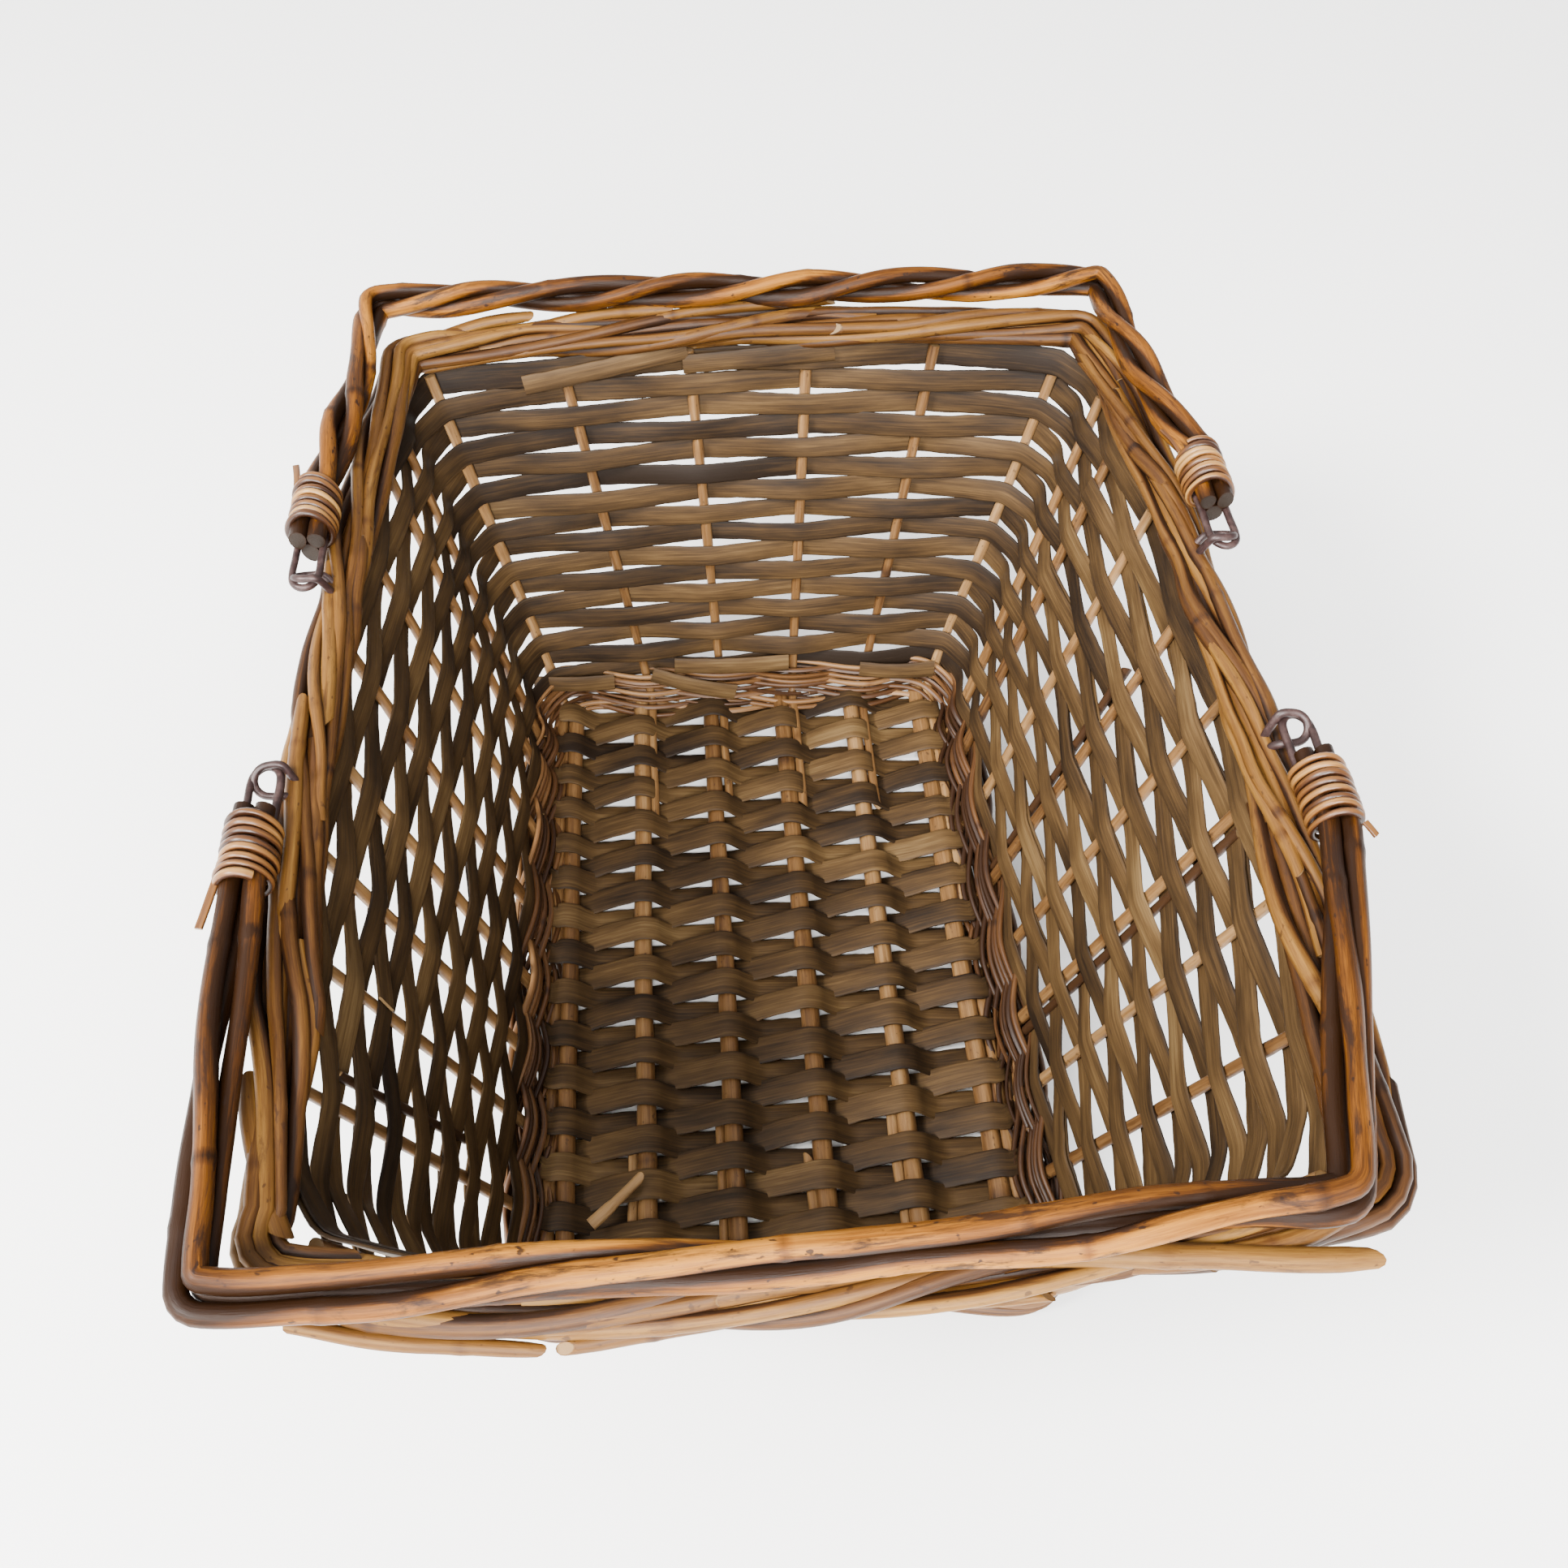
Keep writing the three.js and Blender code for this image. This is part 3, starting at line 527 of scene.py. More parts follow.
# Border line and uprights, as in the CAD part
def side_point(share):
    return np.array([RIM_X + RIM_BOW * (1 - share**2), share * (RIM_Y - RIM_CORNER), RIM_Z])


def end_point(share):
    return np.array([share * (RIM_X - RIM_CORNER), RIM_Y + RIM_BOW * (1 - share**2), RIM_Z])


def corner_point(share, radius=RIM_CORNER):
    return np.array([*round_corner(RIM_X, RIM_Y, radius, share), RIM_Z])


def border_line():
    """The middle line of the border, anticlockwise round the rim."""
    points = []
    for x, y in ((1, 1), (-1, -1)):
        same, crossed = np.array([x, y, 1]), np.array([-x, y, 1])
        points += [side_point(share) * same for share in np.linspace(-0.94, 0.94, 14)]
        points += [corner_point(share) * same for share in np.linspace(0, 1, 5)]
        points += [end_point(-share) * same for share in np.linspace(-0.92, 0.92, 12)]
        points += [corner_point(share) * crossed for share in np.linspace(1, 0, 5)]
    return spline(points, 3.0, loop=True)


def stick_middle(number):
    """Where the middle of a base stick and its long stakes lies, across the basket."""
    return (number - (STICKS - 1) / 2) * STICK_GAP


def is_outer(number):
    return number in (0, STICKS - 1)


def stakes_of_a_side(x):
    found = []
    for share in SIDE_SHARES if x > 0 else SIDE_SHARES[::-1]:
        foot = np.array([x * BASE_X, share * (BASE_Y - BASE_CORNER), STICK_Z])
        top = side_point(share) * np.array([x, 1, 1])
        top[1] = share * (RIM_Y - STAKE_CORNER)
        found.append({"kind": "side", "foot": foot, "top": top, "x": x})
    return found


def stakes_of_an_end(y):
    """The long stakes lie right of their sticks at the far end and left of them at the near end."""
    far_beside, near_beside, outer_beside = 6.0, -6.5, 4.15
    found = []
    for number in range(STICKS)[::-y]:
        middle = stick_middle(number)
        if is_outer(number):
            beside = math.copysign(outer_beside, middle)
            top = corner_point(CORNER_SHARE, STAKE_CORNER) * np.array([1 if number else -1, y, 1])
        else:
            beside = far_beside if y > 0 else near_beside
            top = end_point(END_SHARES[number - 1]) * np.array([1, y, 1])
        foot = np.array([middle + beside, y * BASE_Y, STICK_Z])
        found.append({"kind": "end", "foot": foot, "top": top, "number": number, "y": y})
    return found


def uprights():
    """Every stake in order round the basket, with the shoulders that round the corners between them."""
    found = []
    for sign in (1, -1):
        for stakes in (stakes_of_a_side(sign), stakes_of_an_end(sign)):
            found += [*stakes, {"kind": "shoulder"}]
    neighbours = [(found[i - 1], found[(i + 1) % len(found)]) for i in range(len(found))]
    for stake, (before, after) in zip(found, neighbours):
        if stake["kind"] == "shoulder":
            stake["foot"] = (before["foot"] + after["foot"]) / 2
            stake["top"] = (before["top"] + after["top"]) / 2
    rods = 0
    for stake, (before, after) in zip(found, neighbours):
        along = after["top"] + after["foot"] - before["top"] - before["foot"]
        stake["way"] = unit(stake["top"] - stake["foot"])
        stake["out"] = unit(np.cross(along, stake["way"]))
        stake["swing"] = 0 if stake["kind"] == "shoulder" else (-1) ** rods
        rods += stake["kind"] != "shoulder"
    for stake in found:
        if stake["kind"] == "shoulder":
            stake["foot"] = stake["foot"] + CORNER_SWELL * stake["out"]
            stake["top"] = stake["top"] + CORNER_SWELL * stake["out"]
    return found


UPRIGHTS = uprights()


def wall_share(z):
    """How far up the wall a height is, from the base sticks to the rim."""
    return (z - STICK_Z) / (RIM_Z - STICK_Z)


def place(stake, z):
    return stake["foot"] + (stake["top"] - stake["foot"]) * wall_share(z)


def bowed(base, rim, across, rim_across, z):
    """How far out a wall stands at a height: straight at the base and bowed at the rim."""
    bow = RIM_BOW * (1 - (across / (rim_across - 12)) ** 2)
    return base + (rim + bow - base) * wall_share(z)


# Walls of split strips
ROW_WIDTH = 10.8
ROW_BEND = 9
ROW_SWING = (STAKE_R + STRIP_T / 2 + 0.15) * 1.02
LAP_DEPTH = 0.62
# The top row is pushed up under the border
TOP_LIFT = 0.9
TOP_EXTRA = 1.6
# Ends that were tucked in loosely, by row: from x, z to x, z on the far wall, and how far inside it they lie
LOOSE_ENDS = {
    0: [(-38, 31, 22, 29.5, 6.2), (-112, 25, -70, 23.5, 6.4), (-50, 27, -6, 14, 7.4), (60, 24, 100, 22, 6.6)],
    15: [(-103, 183, -28, 194, 4.6), (-30, 187.5, 40, 191, 4.4)],
}


def wall_row(row):
    """One strip that goes once round the basket and laps its own start by two or three stakes."""
    skin = Skin()
    seed = 1000 + 17 * row
    dice = random.Random(seed)
    top = 1 if row == ROWS - 1 else 0
    z = FIRST_ROW + row * ROW_PITCH + TOP_LIFT * top
    first = dice.randrange(len(UPRIGHTS))
    count = len(UPRIGHTS) + 2 + dice.randrange(2)
    keys = []
    for i in range(count + 1):
        stake = UPRIGHTS[(first + i) % len(UPRIGHTS)]
        slip = dice.uniform(-0.6, 0.6) + (1.8 if i == count else 0)
        depth = (-1) ** row * stake["swing"] * ROW_SWING + LAP_DEPTH * (1 - 2 * i / count)
        keys.append([*(place(stake, z + slip) + stake["out"] * depth), *stake["out"]])
    line = taut(keys, ROW_BEND)
    along = travel(line[:, :3])
    width = ROW_WIDTH + dice.uniform(-0.5, 0.4) + 0.4 * wobble(along, 150, seed + 8) + TOP_EXTRA * top
    tone = dice.uniform(-0.25, 0.28) + 0.22 * wobble(along, 190, seed + 9)
    # Painted shade: the strips darken towards the far end
    tone -= 0.24 * fade(line[:, 1], 110, 40)
    strip(skin, lean(line[:, :3]), line[:, 3:], width, seed, tone=tone, roll=3, crown=0.06)
    for k, (x0, z0, x1, z1, inside) in enumerate(LOOSE_ENDS.get(row, [])):
        keys = []
        for share in np.linspace(0, 1, 5):
            x, z = x0 + (x1 - x0) * share, z0 + (z1 - z0) * share
            y = bowed(BASE_Y, RIM_Y, x, RIM_X, z) - inside - 1.5 * math.sin(math.pi * share)
            keys.append([x, y, z, 0, -1, 0.25])
        line = spline(keys)
        tone = dice.uniform(-0.1, 0.3)
        strip(skin, lean(line[:, :3]), line[:, 3:], 9.4, seed + 40 + k, tone=tone, crown=0.3)
    skin.piece(f"weaver_row_{row + 1:02d}", STRIP)


# Stakes
STAKE_TOP = 191.0
STAKE_MIDDLE = 95
FOOT_RODS = 3
# Dark rods that lean across the side walls: from y, z to y, z, for the right and the left side
DARK_ROD_R = 1.9
DARK_RODS = {1: [(-56, 14, -68, 182), (31, 12, 41, 150)], -1: [(-114, 70, -135, 168)]}
# How far from the middle the long stakes end on the base
OUTER_REACH = 8
FAR_REACH = 86
NEAR_REACHES = {1: 88, 2: 80, 3: 104, 4: 76}


def stake_line(stake):
    """The foot, middle and top of a stake, with its middle a little off the straight."""
    foot_x, foot_y = stake["foot"][:2]
    dice = random.Random(int(abs(foot_x) * 7 + foot_y * 13 + foot_x))
    middle = place(stake, STAKE_MIDDLE) + np.array([dice.uniform(-0.5, 0.5), dice.uniform(-0.5, 0.5), 0])
    return [place(stake, STICK_Z), middle, place(stake, STAKE_TOP)]


def foot_rod(skin, x, number):
    """A rod along the foot of a side wall, which holds the side stakes together."""
    across = BASE_X + (0.8, -1.6, 1.4)[number]
    keys = []
    for y in np.linspace(-148, 146, 22):
        swing = 1.2 * math.sin(y * 0.07 + number * 2)
        rise = 1.1 * math.sin(y * 0.055 + 1.7 * number)
        keys.append([x * (across + swing), y, 4.2 + 1.9 * number + rise])
    line = lean(spline(keys, 4))
    radius = np.linspace(1.9, 1.3, len(line))
    rod(skin, line, radius, 3300 + number * 9 + x, tone=-0.9 + 0.3 * number, sides=8)


def side_stakes(x):
    skin = Skin()
    stakes = [stake for stake in UPRIGHTS if stake["kind"] == "side" and stake["x"] == x]
    for k, stake in enumerate(stakes):
        line = lean(spline(stake_line(stake), 6))
        tone = random.Random(k * 5 + x).uniform(-0.3, 0.6)
        rod(skin, line, np.linspace(STAKE_R, 2.2, len(line)), 3000 + 40 * k + x, tone=tone)
    for y0, z0, y1, z1 in DARK_RODS[x]:
        keys = []
        for share in (0, 0.35, 0.7, 1):
            y, z = y0 + (y1 - y0) * share, z0 + (z1 - z0) * share
            keys.append([x * bowed(BASE_X, RIM_X, y, RIM_Y, z), y, z])
        rod(skin, lean(spline(keys, 5)), DARK_ROD_R, 3400 + int(y0), tone=-1.6, sides=10, ends=(1, 1))
    for number in range(FOOT_RODS):
        foot_rod(skin, x, number)
    skin.piece(SIDES[x] + "_side_stakes", STAKE)


def long_stake_half(skin, stake):
    """From the stake's end on the base outward, and round its foot up into the end wall."""
    number, y, foot, way = stake["number"], stake["y"], stake["foot"], stake["way"]
    reach = FAR_REACH
    if is_outer(number):
        reach = OUTER_REACH
    elif y < 0:
        reach = NEAR_REACHES[number]
    dice = random.Random(number * 11 + y)
    bend = [foot + np.array([0, -5 * y, 0]), foot + 1.75 * way + np.array([0, -0.8 * y, 0.4])]
    rise = spline([*bend, foot + 6 * way, *stake_line(stake)[1:]], 5)
    inward = []
    for level in np.linspace(reach + dice.uniform(-5, 5), 146, 4):
        inward.append([foot[0] + dice.uniform(-0.5, 0.5), y * level, STICK_Z - 0.3 * (level < 60)])
    inward.append(foot + np.array([0, -y * 5.5, 0]))
    line = lean(np.vstack([spline(inward, 6)[:-1], rise]))
    radius = np.linspace(3.0 if is_outer(number) else 2.1, 2.5, len(line))
    rod(skin, line, radius, 3600 + 20 * number + y, tone=dice.uniform(-0.2, 0.5), ends=(1.2, 0))


def long_stake(number):
    skin = Skin()
    for stake in UPRIGHTS:
        if stake["kind"] == "end" and stake["number"] == number:
            long_stake_half(skin, stake)
    skin.piece(f"long_stake_{number + 1}", STAKE)


# Base
STICK_BESIDE = 0.6
OUTER_STICK_BESIDE = 2.75
BASE_STRIP_T = 1.2
BASE_STRIP_WIDTH = 12.9
# The strip narrows where it folds round the outer sticks
FOLD_NARROWER = 6.4
FOLD_FROM = 98.0
FOLD_OVER = 3
FLOOR_GAP = 0.1
# The hump of the strip over a stick: distance from its peak, and height over the stick
HUMP = ((-16, -4.9), (-7.5, -1.7), (0, 0.45), (5, -1.3), (9.3, -5.2), (14, -8.6))
HUMP_OVER = 0.85


def broken_twig(skin):
    """A snapped twig that sticks up at the near left corner of the base."""
    line = lean(spline([[-80, -128, 12.6], [-70, -120, 14.5], [-58, -109, 15.8]], 3))
    radius = np.where(np.arange(len(line)) < 4, 2.6, 2.2)
    rod(skin, line, radius, 3950, tone=0.9, ends=(0, 1.5))


def base_stick(number):
    skin = Skin()
    dice = random.Random(70 + number)
    middle = stick_middle(number)
    x = middle - (math.copysign(OUTER_STICK_BESIDE, middle) if is_outer(number) else STICK_BESIDE)
    keys = [[x + dice.uniform(-0.5, 0.5), y, STICK_Z] for y in (-161.5, -80, 0, 80, 161.5)]
    tone = dice.uniform(-0.35, 0.25)
    rod(skin, lean(spline(keys, 5)), STICK_R, 3900 + number, tone=tone, sides=16, lumps=0.03)
    if number == 0:
        broken_twig(skin)
    skin.piece(f"base_stick_{number + 1}", STAKE)


def over_stick(x, y, head, last):
    """The strip's way over a stick. The last stick of a row has only the rise and half the hump."""
    hump = HUMP[::head]
    if last:
        hump = [(dx, dz) for dx, dz in hump if head * dx <= 0] + [(head * 5.0, -0.6)]
    return [[x + dx, y, STICK_Z + STICK_R + HUMP_OVER + dz] for dx, dz in hump]


def base_line():
    """The strip goes under and over the sticks, and back in the next row round the outermost stick."""
    dice = random.Random(5)
    outer = STICK_GAP * (STICKS - 1) / 2
    keys = []
    for row in range(BASE_ROWS):
        y = (row - (BASE_ROWS - 1) / 2) * BASE_PITCH
        head = 1 if row % 2 == 0 else -1
        for step in range(STICKS):
            x = stick_middle(step if head > 0 else STICKS - 1 - step)
            slip = dice.uniform(-0.7, 0.7)
            if step % 2:
                peak = x - STICK_BESIDE + dice.uniform(-1, 1)
                keys += over_stick(peak, y + slip, head, step == STICKS - 1)
            else:
                keys += [[x + head * dx, y + slip, 0.75] for dx in (-6.0, 6.0)]
        if row < BASE_ROWS - 1:
            keys.append([head * (outer + 7.4), y + BASE_PITCH * 0.3, STICK_Z + 2.8])
            keys.append([head * (outer + 8.0), y + BASE_PITCH * 0.55, STICK_Z - 0.7])
    line = spline(keys, 2.2)
    line[:, 2] = np.maximum(line[:, 2], 1.0)
    return line


def base_weave():
    skin = Skin()
    line = base_line()
    along = travel(line)
    normals = np.cross(tangents(line), np.array([0, 1.0, 0]))
    folded = fade(np.abs(line[:, 0]), FOLD_FROM, FOLD_OVER)
    width = BASE_STRIP_WIDTH + 0.4 * wobble(along, 120, 76) - FOLD_NARROWER * folded
    tone = 0.28 * wobble(along, 160, 77) - 0.05
    strip(skin, lean(line), normals, width, 411, tone=tone, thickness=BASE_STRIP_T, ragged=0.05, roll=1.5,
          crown=0.1)
    skin.press(FLOOR_GAP)
    skin.piece("base_weave", STRIP)


# Wales: thin twigs woven round the foot of the wall
WALE_R = 1.4
WALE_LEVELS = {"wale_lower": (2.9, 6.0, 9.1), "wale_upper": (12.4, 15.6, 18.8, 22.0)}
WALE_END_Y = -170.5
WALE_FLOOR = 1.8
# Depth behind the uprights and lift: a twig passes inside one upright and behind the next two
WALE_WAY = ((-1.0, 0.0), (0.85, 1.7), (0.95, -1.7))


def wale_strand(number, phase, z):
    dice = random.Random(500 + number)
    keys = []
    count = 0
    for stake in UPRIGHTS:
        if stake["kind"] == "shoulder":
            depth, lift = -0.2, 0.0
        else:
            depth, lift = WALE_WAY[(count + phase) % 3]
            count += 1
        layer = STAKE_R + WALE_R + 0.1 + dice.uniform(0, 0.5)
        inward = np.clip(12 - z, 0, 8) * 0.75
        point = place(stake, z + lift + dice.uniform(-0.5, 0.5)) + stake["out"] * (depth * layer - inward)
        point[1] = max(point[1], WALE_END_Y)
        keys.append(point)
    return spline(keys, 3, loop=True)


def wale_twig(skin, points, number, start, dice):
    """One twig of a wale. Those along the sides are darkened with painted shade, most of all on the right."""
    shares = np.linspace(0, 1, len(points))
    thick = np.interp(shares, [0, 0.2, 0.8, 1], [1.1, WALE_R, WALE_R - 0.1, 0.7])
    bent = crooked(points, 5400 + number + start, 0.25)
    bent[:, 2] = np.maximum(bent[:, 2], WALE_FLOOR)
    # Painted shade on the twigs along the side walls, deeper on the right
    beside = fade(np.abs(bent[:, 0]), 85, 12) * (1 - fade(np.abs(bent[:, 1]), 138, 20))
    tone = dice.uniform(-0.6, 0.6) - np.where(bent[:, 0] > 0, 0.8, 0.3) * beside
    rod(skin, bent, thick, 5200 + 10 * number + start, tone=tone, sides=8, ends=(0.8, 0.3))


def wale(name):
    """Three twigs in each layer, which start anywhere round the basket and are each in three lengths."""
    skin = Skin()
    for k, z in enumerate(WALE_LEVELS[name]):
        for phase in range(3):
            number = 3 * k + phase + (12 if name == "wale_upper" else 0)
            dice = random.Random(5100 + number)
            line = lean(wale_strand(number, phase + k, z + 0.25 * (phase - 1)))
            line = np.roll(line, dice.randrange(len(line)), 0)
            cuts = sorted(dice.uniform(0.2, 0.8) for _ in range(2))
            bounds = [0, *(int(cut * len(line)) for cut in cuts), len(line)]
            for start, end in zip(bounds[:-1], bounds[1:]):
                if end - start >= 12:
                    wale_twig(skin, line[max(start - 4, 0):end], number, start, dice)
    skin.piece(name, TWIG)


# Border: rods rolled round each other, each one showing for a while
BORDER_LINE = border_line()
BORDER_ALONG = travel(BORDER_LINE)
BORDER_LENGTH = BORDER_ALONG[-1] + np.linalg.norm(BORDER_LINE[0] - BORDER_LINE[-1])
BORDER_OUT = np.cross(tangents(BORDER_LINE, True), UP)
BORDER_TURNS = 4
BORDER_WIDE = 6.9
BORDER_TALL = 5.7
# Eight rods outside, in four groups with three core rods, one group for each CAD rod
STRANDS = 8
CORES = 3
CORE_SHARE = 0.3
BORDER_GROUPS = ((0, 4, 8), (1, 5, 9), (2, 6, 10), (3, 7))
# Short rods whose cut ends show beside the border, by group: points and radius
STRAY_RODS = {
    0: [
        ([[-92, 220, 207.5], [-115, 217, 206.5], [-142, 210, 202]], 2.7),
        ([[-28, 220, 208.5], [-60, 219.5, 207], [-100, 214, 203]], 2.8),
        ([[45, 223.5, 208], [10, 222, 208], [-30, 218, 206], [-64, 213, 202]], 2.8),
    ],
    1: [
        ([[-164, -152, 202], [-159, -172, 204], [-153, -190, 203], [-147, -204, 200]], 3.2),
        ([[-166, -6, 206], [-164.5, -38, 207], [-161, -75, 206.5], [-160, -112, 204]], 2.9),
    ],
    2: [
        ([[152.6, -229.5, 203], [129.4, -228.6, 203], [103.1, -226.3, 203.5], [72.5, -223.2, 203],
          [41, -220.5, 201], [12, -220, 199]], 3.4),
        ([[-75, -234.5, 190.5], [-95, -232, 190.5], [-125, -228, 192], [-145, -224, 195]], 2.4),
        ([[-73, -234.5, 190.5], [-52, -232, 190.5], [-20, -229, 192], [12, -224, 197]], 2.4),
        ([[64, -230, 193], [40, -230, 192], [8, -226, 196]], 2.2),
        ([[-152, -214, 200], [-120, -224, 198], [-80, -228.5, 196], [-35, -228, 197], [0, -225, 200]], 2.9),
        ([[-20, -228.5, 193], [20, -228.5, 193], [60, -226.5, 194], [100, -223, 196], [130, -219, 199]], 2.8),
        ([[84, -226, 200], [112, -225, 201], [135, -221, 202], [152, -214, 203]], 2.8),
    ],
    3: [([[-157, -21, 204], [-159.5, 12, 205.5], [-163, 46, 205], [-166, 82, 203]], 2.8)],
}


def near_end(y):
    """1 along the near end of the border, 0 elsewhere."""
    return fade(-y, 195, 14)


def border_strand(number, along, tuck):
    """Where a rod of the border lies: along may run past the whole length, and tuck draws it inward."""
    at = np.mod(along, BORDER_LENGTH)
    stations = np.append(BORDER_ALONG, BORDER_LENGTH)

    def on_loop(rows):
        closed = np.vstack([rows, rows[:1]])
        return np.stack([np.interp(at, stations, closed[:, axis]) for axis in range(3)], -1)

    centre = on_loop(BORDER_LINE)
    out = unit(on_loop(BORDER_OUT))
    x, y = centre[:, 0], centre[:, 1]
    core = number >= STRANDS
    turn = BORDER_TURNS * along / BORDER_LENGTH + number / (CORES if core else STRANDS)
    angle = TAU * turn + 0.45 * wobble(at, 170, 900 + number, BORDER_LENGTH)
    loose = (1 + 0.13 * wobble(at, 110, 950 + number, BORDER_LENGTH)) * tuck
    near = near_end(y)
    # Broader towards the near end, slimmer at the near left corner, pinched where the hinges pass
    broad = 2.2 * fade(-y, 40, 90) * (1 - near)
    slim = 3.6 * fade(-y, 130, 35) * (x < -130) * (1 - near)
    pinch = np.exp(-(((np.abs(y) - HINGE_Y) / 14) ** 2)) * (np.abs(x) > 130)
    wide = (BORDER_WIDE + broad - slim) * loose - 1.5 * pinch
    tall = (BORDER_TALL + 0.3 * near) * loose - 1.2 * pinch
    # The near end bulges outward and sags
    belly = 7.0 + 3.0 * np.exp(-(((x + 75) / 75) ** 2))
    centre = centre + out * (belly * near)[:, None] - UP * (3.8 * near)[:, None]
    share = CORE_SHARE if core else 1.0
    away = out * (share * wide * np.cos(angle))[:, None] + UP * (share * tall * np.sin(angle))[:, None]
    return centre + away, unit(away)


def border_rods(skin, strand):
    """The rods that follow each other along one strand of the border."""
    dice = random.Random(640 + strand)
    start = dice.uniform(0, 200)
    finish = start + BORDER_LENGTH
    number = 0
    while start < finish - 1:
        end = min(start + dice.uniform(210, 330), finish)
        if finish - end < 120:
            end = finish
        along = np.arange(start - 26, end + 10, 3.0)
        tuck = 0.4 + 0.6 * fade(along - along[0], 0, 34) + 0.16 * (1 - fade(along[-1] - along, 0, 26))
        points, away = border_strand(strand, along, tuck)
        thick = dice.uniform(2.65, 3.15) - 0.6 * fade(along, start, end - start) ** 1.5
        line = crooked(lean(points), 6500 + 50 * strand + number, 0.45)
        # Painted light: the rods along the near end are a little lighter, where more light falls on them
        tone = dice.uniform(-0.5, 0.55) + 0.2 * near_end(line[:, 1])
        ends = (0, dice.uniform(0.9, 2.0))
        # Painted shade on the sides of the rod that lie against the rest of the border
        rod(skin, line, thick, 6000 + 50 * strand + number, tone=tone, ends=ends, out=away)
        start = end
        number += 1


def border(group):
    skin = Skin()
    for strand in BORDER_GROUPS[group]:
        border_rods(skin, strand)
    for n, (keys, thick) in enumerate(STRAY_RODS[group]):
        line = crooked(spline(keys, 3), 6900 + n, 0.3)
        radius = np.interp(travel(line), [0, 12], [thick - 0.5, thick])
        rod(skin, line, radius, 6800 + n, tone=0.3, ends=(1.4, 1.2))
    skin.piece(f"border_rod_{group + 1}", BORDER)


# Handles, in coordinates of their own: y runs outward from the hinge line. End is -1 near, 1 far
HANDLE_RODS = 3
HANDLE_TURNS = {-1: 1, 1: 4}
ROD_R = 3.55
ROD_SPREAD = 4.1
THINNER = {-1: 0.5, 1: 0.35}
STRAIGHT_END = 32


def handle_line(end):
    """The middle line of a handle, pushed out of its true shape by use."""
    half = [[HINGE_X, y, 0] for y in (ROD_START, BIND_START + 6, BIND_END - 4)]
    arm_end = HANDLE_REACH - HANDLE_CORNER
    for share in np.linspace(0.15, 1, 6):
        x = HINGE_X + (HANDLE_X - HINGE_X) * share
        half.append([x, BIND_END + (arm_end - BIND_END) * share, 0])
    for share in np.linspace(0.2, 1, 5):
        half.append([*round_corner(HANDLE_X, HANDLE_REACH, HANDLE_CORNER, share), 0])
    bar = [[x, HANDLE_REACH, 0] for x in np.linspace(HANDLE_X - HANDLE_CORNER, HANDLE_CORNER - HANDLE_X, 12)]
    line = spline(half + bar[1:-1] + [[-x, y, z] for x, y, z in half[::-1]], 3)
    away = fade(line[:, 1], 44, 130)
    minus, plus = fade(-line[:, 0], 0, HANDLE_X), fade(line[:, 0], 0, HANDLE_X)
    if end < 0:
        # The near handle is racked, so its right arm leans in
        line[:, 0] += away * (24.5 * minus + 2.2 * plus)
        line[:, 1] -= 7.5 * away * minus
    else:
        sag = np.sin(math.pi * away)
        line[:, 0] += 2.5 * sag * minus - (5 * away + 4 * sag) * plus
        line[:, 1] -= 3 * away * plus
    return line


def turned(vectors, end):
    """Handle directions as the basket's."""
    return np.asarray(vectors, float) * np.array([end, end, 1])


def to_basket(points, end):
    """Handle coordinates as the basket's."""
    return turned(points, end) + np.array([RIM_SHIFT, end * HINGE_Y, HINGE_Z])


def handle_rod(end, number):
    skin = Skin()
    seed = 7000 + 100 * number + end
    dice = random.Random(seed)
    line = handle_line(end)
    along = travel(line)
    from_end = np.minimum(along, along[-1] - along)
    free = fade(from_end, 36, 60)
    turn = HANDLE_TURNS[end] * fade(along, STRAIGHT_END, along[-1] - 2 * STRAIGHT_END)
    angle = TAU * (turn + number / HANDLE_RODS - 0.25) + 0.35 * wobble(along, 150, seed) * free
    loose = free * (0.35 if end < 0 else 0.1 + 0.3 * (1 - fade(from_end, 130, 20)))
    reach = ROD_SPREAD + loose * (1 + 2 * wobble(along, 90, seed + 3))
    out = np.cross(tangents(line), UP)
    away = out * (reach * np.cos(angle))[:, None] + UP * (reach * np.sin(angle))[:, None]
    # The middle rod is thick where the others are thin
    taper = np.linspace(0, 1, len(along)) if number % 2 else np.linspace(1, 0, len(along))
    thick = ROD_R - THINNER[end] * free * taper
    tone = dice.uniform(-0.1, 0.4) + 0.35 * wobble(along, 200, seed + 6) - 1.3 * (1 - fade(from_end, 0, 14))
    if end < 0:
        tone = tone + 0.6 * fade(from_end, 165, 20) - 0.6
    bent = crooked(to_basket(line + away + UP * EYE_DROP, end), seed + 7, 0.4)
    cuts = (dice.uniform(0, 0.3), dice.uniform(0, 0.3))
    # Painted shade on the sides of the rod that lie against the other rods of the handle
    rod(skin, bent, thick, seed, tone=tone, sides=14, ends=cuts, out=turned(unit(away), end))
    skin.piece(f"{ENDS[end]}_handle_rod_{number + 1}", HANDLE, ENDS[end] + "_handle")


# Bindings and wires. Side is -1 left, 1 right
TURNS = 7.6
STEPS_PER_TURN = 30
TURN_LENGTH = 50
TURN_PITCH = 3.25
BINDING_R = 8.7
BINDING_T = 1.7
BINDING_WIDTH = 2.6
BIGHT_STEPS = 8
# The loose end of the strip: aside from the rods, on past the binding, and up
TAIL = ((7.4, -3, 3), (8.6, 5, 2.5), (10.5, 14, 1))
TAIL_T = 1.1


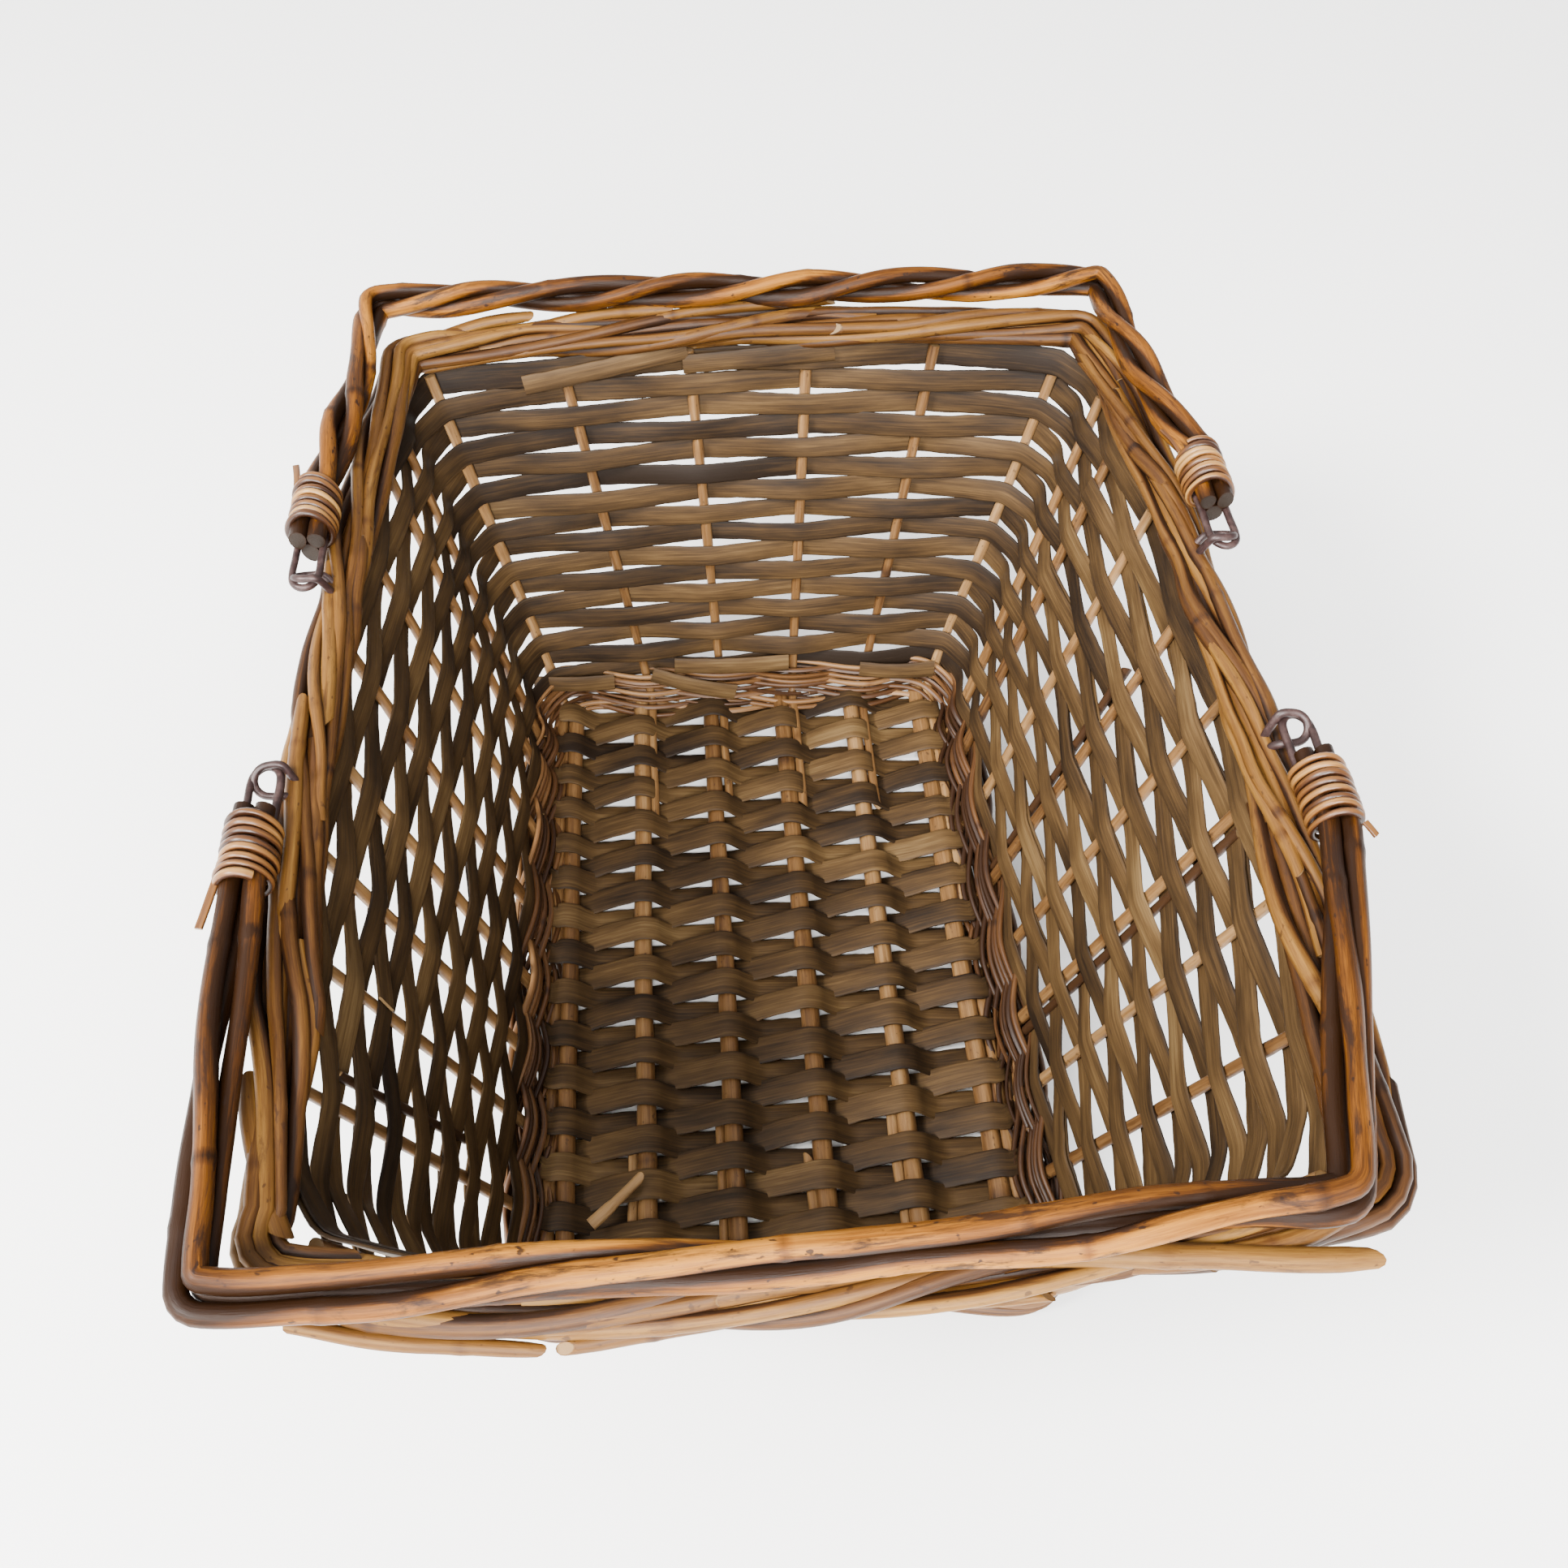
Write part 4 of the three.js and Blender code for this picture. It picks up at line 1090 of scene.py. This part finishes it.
def binding_coil(skin, x, end, seed):
    turns = np.linspace(0, TURNS, int(TURNS * STEPS_PER_TURN))
    along = turns * TURN_LENGTH
    angle = TAU * (turns - 0.25)
    # The three rods inside make the coil slightly three-sided
    radius = BINDING_R * (1 + 0.045 * np.cos(3 * angle + 1.57)) + 0.25 * wobble(along, 40, seed)
    y = BIND_START + 1.6 + TURN_PITCH * turns + 0.35 * wobble(along, 60, seed + 2)
    points = np.stack([x + radius * np.cos(angle), y, EYE_DROP + radius * np.sin(angle)], -1)
    facing = turned(np.stack([np.cos(angle), 0 * angle, np.sin(angle)], -1), end)
    width = BINDING_WIDTH + 0.3 * wobble(along, 90, seed + 4)
    tone = 0.15 + 0.6 * wobble(along, 60, seed + 5)
    # Strong painted shade on both edges of the strip, in the gaps between the turns of the coil
    strip(skin, to_basket(points, end), facing, width, seed, tone=tone, thickness=BINDING_T, ragged=0.08,
          crown=0.55, roll=12, edge_shade=1.3)


def binding(end, side):
    """A coil and its tail. The near left tail lies on the outer side, and the near right one is short."""
    skin = Skin()
    seed = 8000 + end * 10 + len(SIDES[side])
    x = side * end * HINGE_X
    binding_coil(skin, x, end, seed)
    beside = 1 if (end, side) == (-1, -1) else -1
    length = 0.25 if (end, side) == (-1, 1) else 1.0
    keys = [[x + beside * aside, BIND_END + on * length, EYE_DROP + up] for aside, on, up in TAIL]
    line = to_basket(spline(keys, 2), end)
    strip(skin, line, np.tile(UP, (len(line), 1)), BINDING_WIDTH, seed + 9, tone=-0.1, thickness=TAIL_T)
    skin.piece(f"{ENDS[end]}_{SIDES[side]}_binding", BINDING, ENDS[end] + "_handle")


def eye(end, side):
    """A wire loop whose two legs lie in the grooves between the rods, under the binding."""
    skin = Skin()
    depths = [BIND_END - 8, 24, 9]
    across = [[-EYE_GAP, y] for y in depths]
    for i in range(BIGHT_STEPS + 1):
        turn = math.pi * i / BIGHT_STEPS
        across.append([-EYE_GAP * math.cos(turn), EYE_SETBACK - EYE_BIGHT * math.sin(turn)])
    across += [[EYE_GAP, y] for y in depths[::-1]]
    keys = [[side * end * (HINGE_X + x), y, 0] for x, y in across]
    rod(skin, to_basket(spline(keys, 1.0), end), WIRE_R, 9000 + side + 3 * end, lumps=0.0, sides=14)
    skin.piece(f"{ENDS[end]}_{SIDES[side]}_eye", WIRE, ENDS[end] + "_handle")


def staple(end, side):
    """A wire loop from under the border that passes through the eye."""
    skin = Skin()
    aside = np.array([0, -end * math.cos(STAPLE_TILT), math.sin(STAPLE_TILT)])
    hinge = np.array([HINGE_X, end * HINGE_Y, HINGE_Z])
    root = np.array([STAPLE_ROOT_X, end * HINGE_Y, RIM_Z])
    middle = LOOP_OFFSET - STAPLE_BIGHT

    def at(dx, spread):
        return hinge + np.array([dx, 0, 0]) + aside * spread

    def leg(sign):
        foot = root - np.array([0, sign * end * 1.8, -2.0])
        shoulder = foot * 0.45 + at(middle - 4.0, sign * STAPLE_HALF) * 0.55 + np.array([-0.4, 0, 1.0])
        return [foot, shoulder, at(middle - 3.4, sign * STAPLE_HALF)]

    keys = leg(1)
    for i in range(BIGHT_STEPS + 1):
        turn = math.pi * (0.5 - i / BIGHT_STEPS)
        keys.append(at(middle + STAPLE_BIGHT * math.cos(turn), STAPLE_HALF * math.sin(turn)))
    keys += leg(-1)[::-1]
    line = spline(np.array(keys) * np.array([side, 1, 1]), 1.0) + np.array([RIM_SHIFT, 0, 0])
    rod(skin, line, WIRE_R, 9100 + side + 3 * end, lumps=0.0, sides=14)
    skin.piece(f"{ENDS[end]}_{SIDES[side]}_staple", WIRE)


def make_basket():
    for row in range(ROWS):
        wall_row(row)
    for side in SIDES:
        side_stakes(side)
    for number in range(STICKS):
        long_stake(number)
    for number in range(STICKS):
        base_stick(number)
    base_weave()
    for name in WALE_LEVELS:
        wale(name)
    for group in range(len(BORDER_GROUPS)):
        border(group)
    for end in ENDS:
        for number in range(HANDLE_RODS):
            handle_rod(end, number)
        for side in SIDES:
            binding(end, side)
            eye(end, side)
            staple(end, side)


# Floor, lights and camera, in metres
def paper():
    """Pale paper that glows a little away from the basket, as in an overexposed studio photograph."""
    made, graph = new_material("floor_paper")
    shades = [(0.3, (0.87, 0.865, 0.855)), (0.7, (0.9, 0.895, 0.885))]
    spot = graph.node("TexCoord").outputs["Object"]
    away = graph.node("VectorMath", operation="LENGTH", Vector=spot).outputs["Value"]
    glow = graph.between(away, 0.0, 0.85, From_Min=0.14, From_Max=0.42)
    graph.surface(Base_Color=graph.ramp(graph.noise(3.0, 2.0), shades), Roughness=0.9,
                  Emission_Color=(1, 0.99, 0.975, 1), Emission_Strength=glow)
    return made


def floor():
    half, z = 4, -0.0005
    mesh = bpy.data.meshes.new("floor")
    corners = [(-half, -half, z), (half, -half, z), (half, half, z), (-half, half, z)]
    mesh.from_pydata(corners, [], [(0, 1, 2, 3)])
    mesh.materials.append(paper())
    new_object("floor", mesh)


def light(name, place, target, size, power, colour=(1, 1, 1)):
    """A round soft light that points from its place to its target."""
    data = bpy.data.lights.new(name, "AREA")
    data.shape = "DISK"
    data.size = size
    data.energy = power
    data.color = colour
    lamp = new_object(name, data)
    x, y, z = np.array(target, float) - np.array(place, float)
    lamp.location = place
    lamp.rotation_euler = Euler((math.atan2(math.hypot(x, y), -z), 0, math.atan2(-x, y)), "XYZ")


def surroundings():
    """Soft light from all round, warm and bright on the left and dim on the right."""
    world = bpy.data.worlds.new("studio")
    bpy.context.scene.world = world
    world.use_nodes = True
    graph = Graph(world.node_tree)
    way = graph.node("TexCoord").outputs["Generated"]
    axes = graph.node("SeparateXYZ", Vector=way)
    slide = graph.between(axes.outputs[0], 0.0, 1.0, From_Min=-1.0, From_Max=1.0)
    shades = [(0.1, (1.0, 0.99, 0.97)), (0.9, (0.36, 0.365, 0.38))]
    background = world.node_tree.nodes["Background"]
    graph.feed(background.inputs["Color"], graph.ramp(slide, shades))
    graph.feed(background.inputs["Strength"], 2.2)


def camera():
    """The photograph's view, which was solved from the corners of the base and the rim."""
    obj = new_object("camera", bpy.data.cameras.new("camera"))
    obj.data.sensor_width = 36
    obj.data.lens = 33.54
    obj.location = (-0.022371, -0.363918, 0.593809)
    obj.rotation_euler = Euler((0.67171, -0.00487, -0.0711), "XYZ")
    bpy.context.scene.camera = obj


make_basket()
floor()
light("key", (-1.6, -0.75, 1.85), (0, 0, 0.1), 0.8, 200, (1, 0.985, 0.96))
light("fill", (-0.1, -1.8, 1.5), (0, -0.3, 0.1), 1.2, 200)
surroundings()
camera()
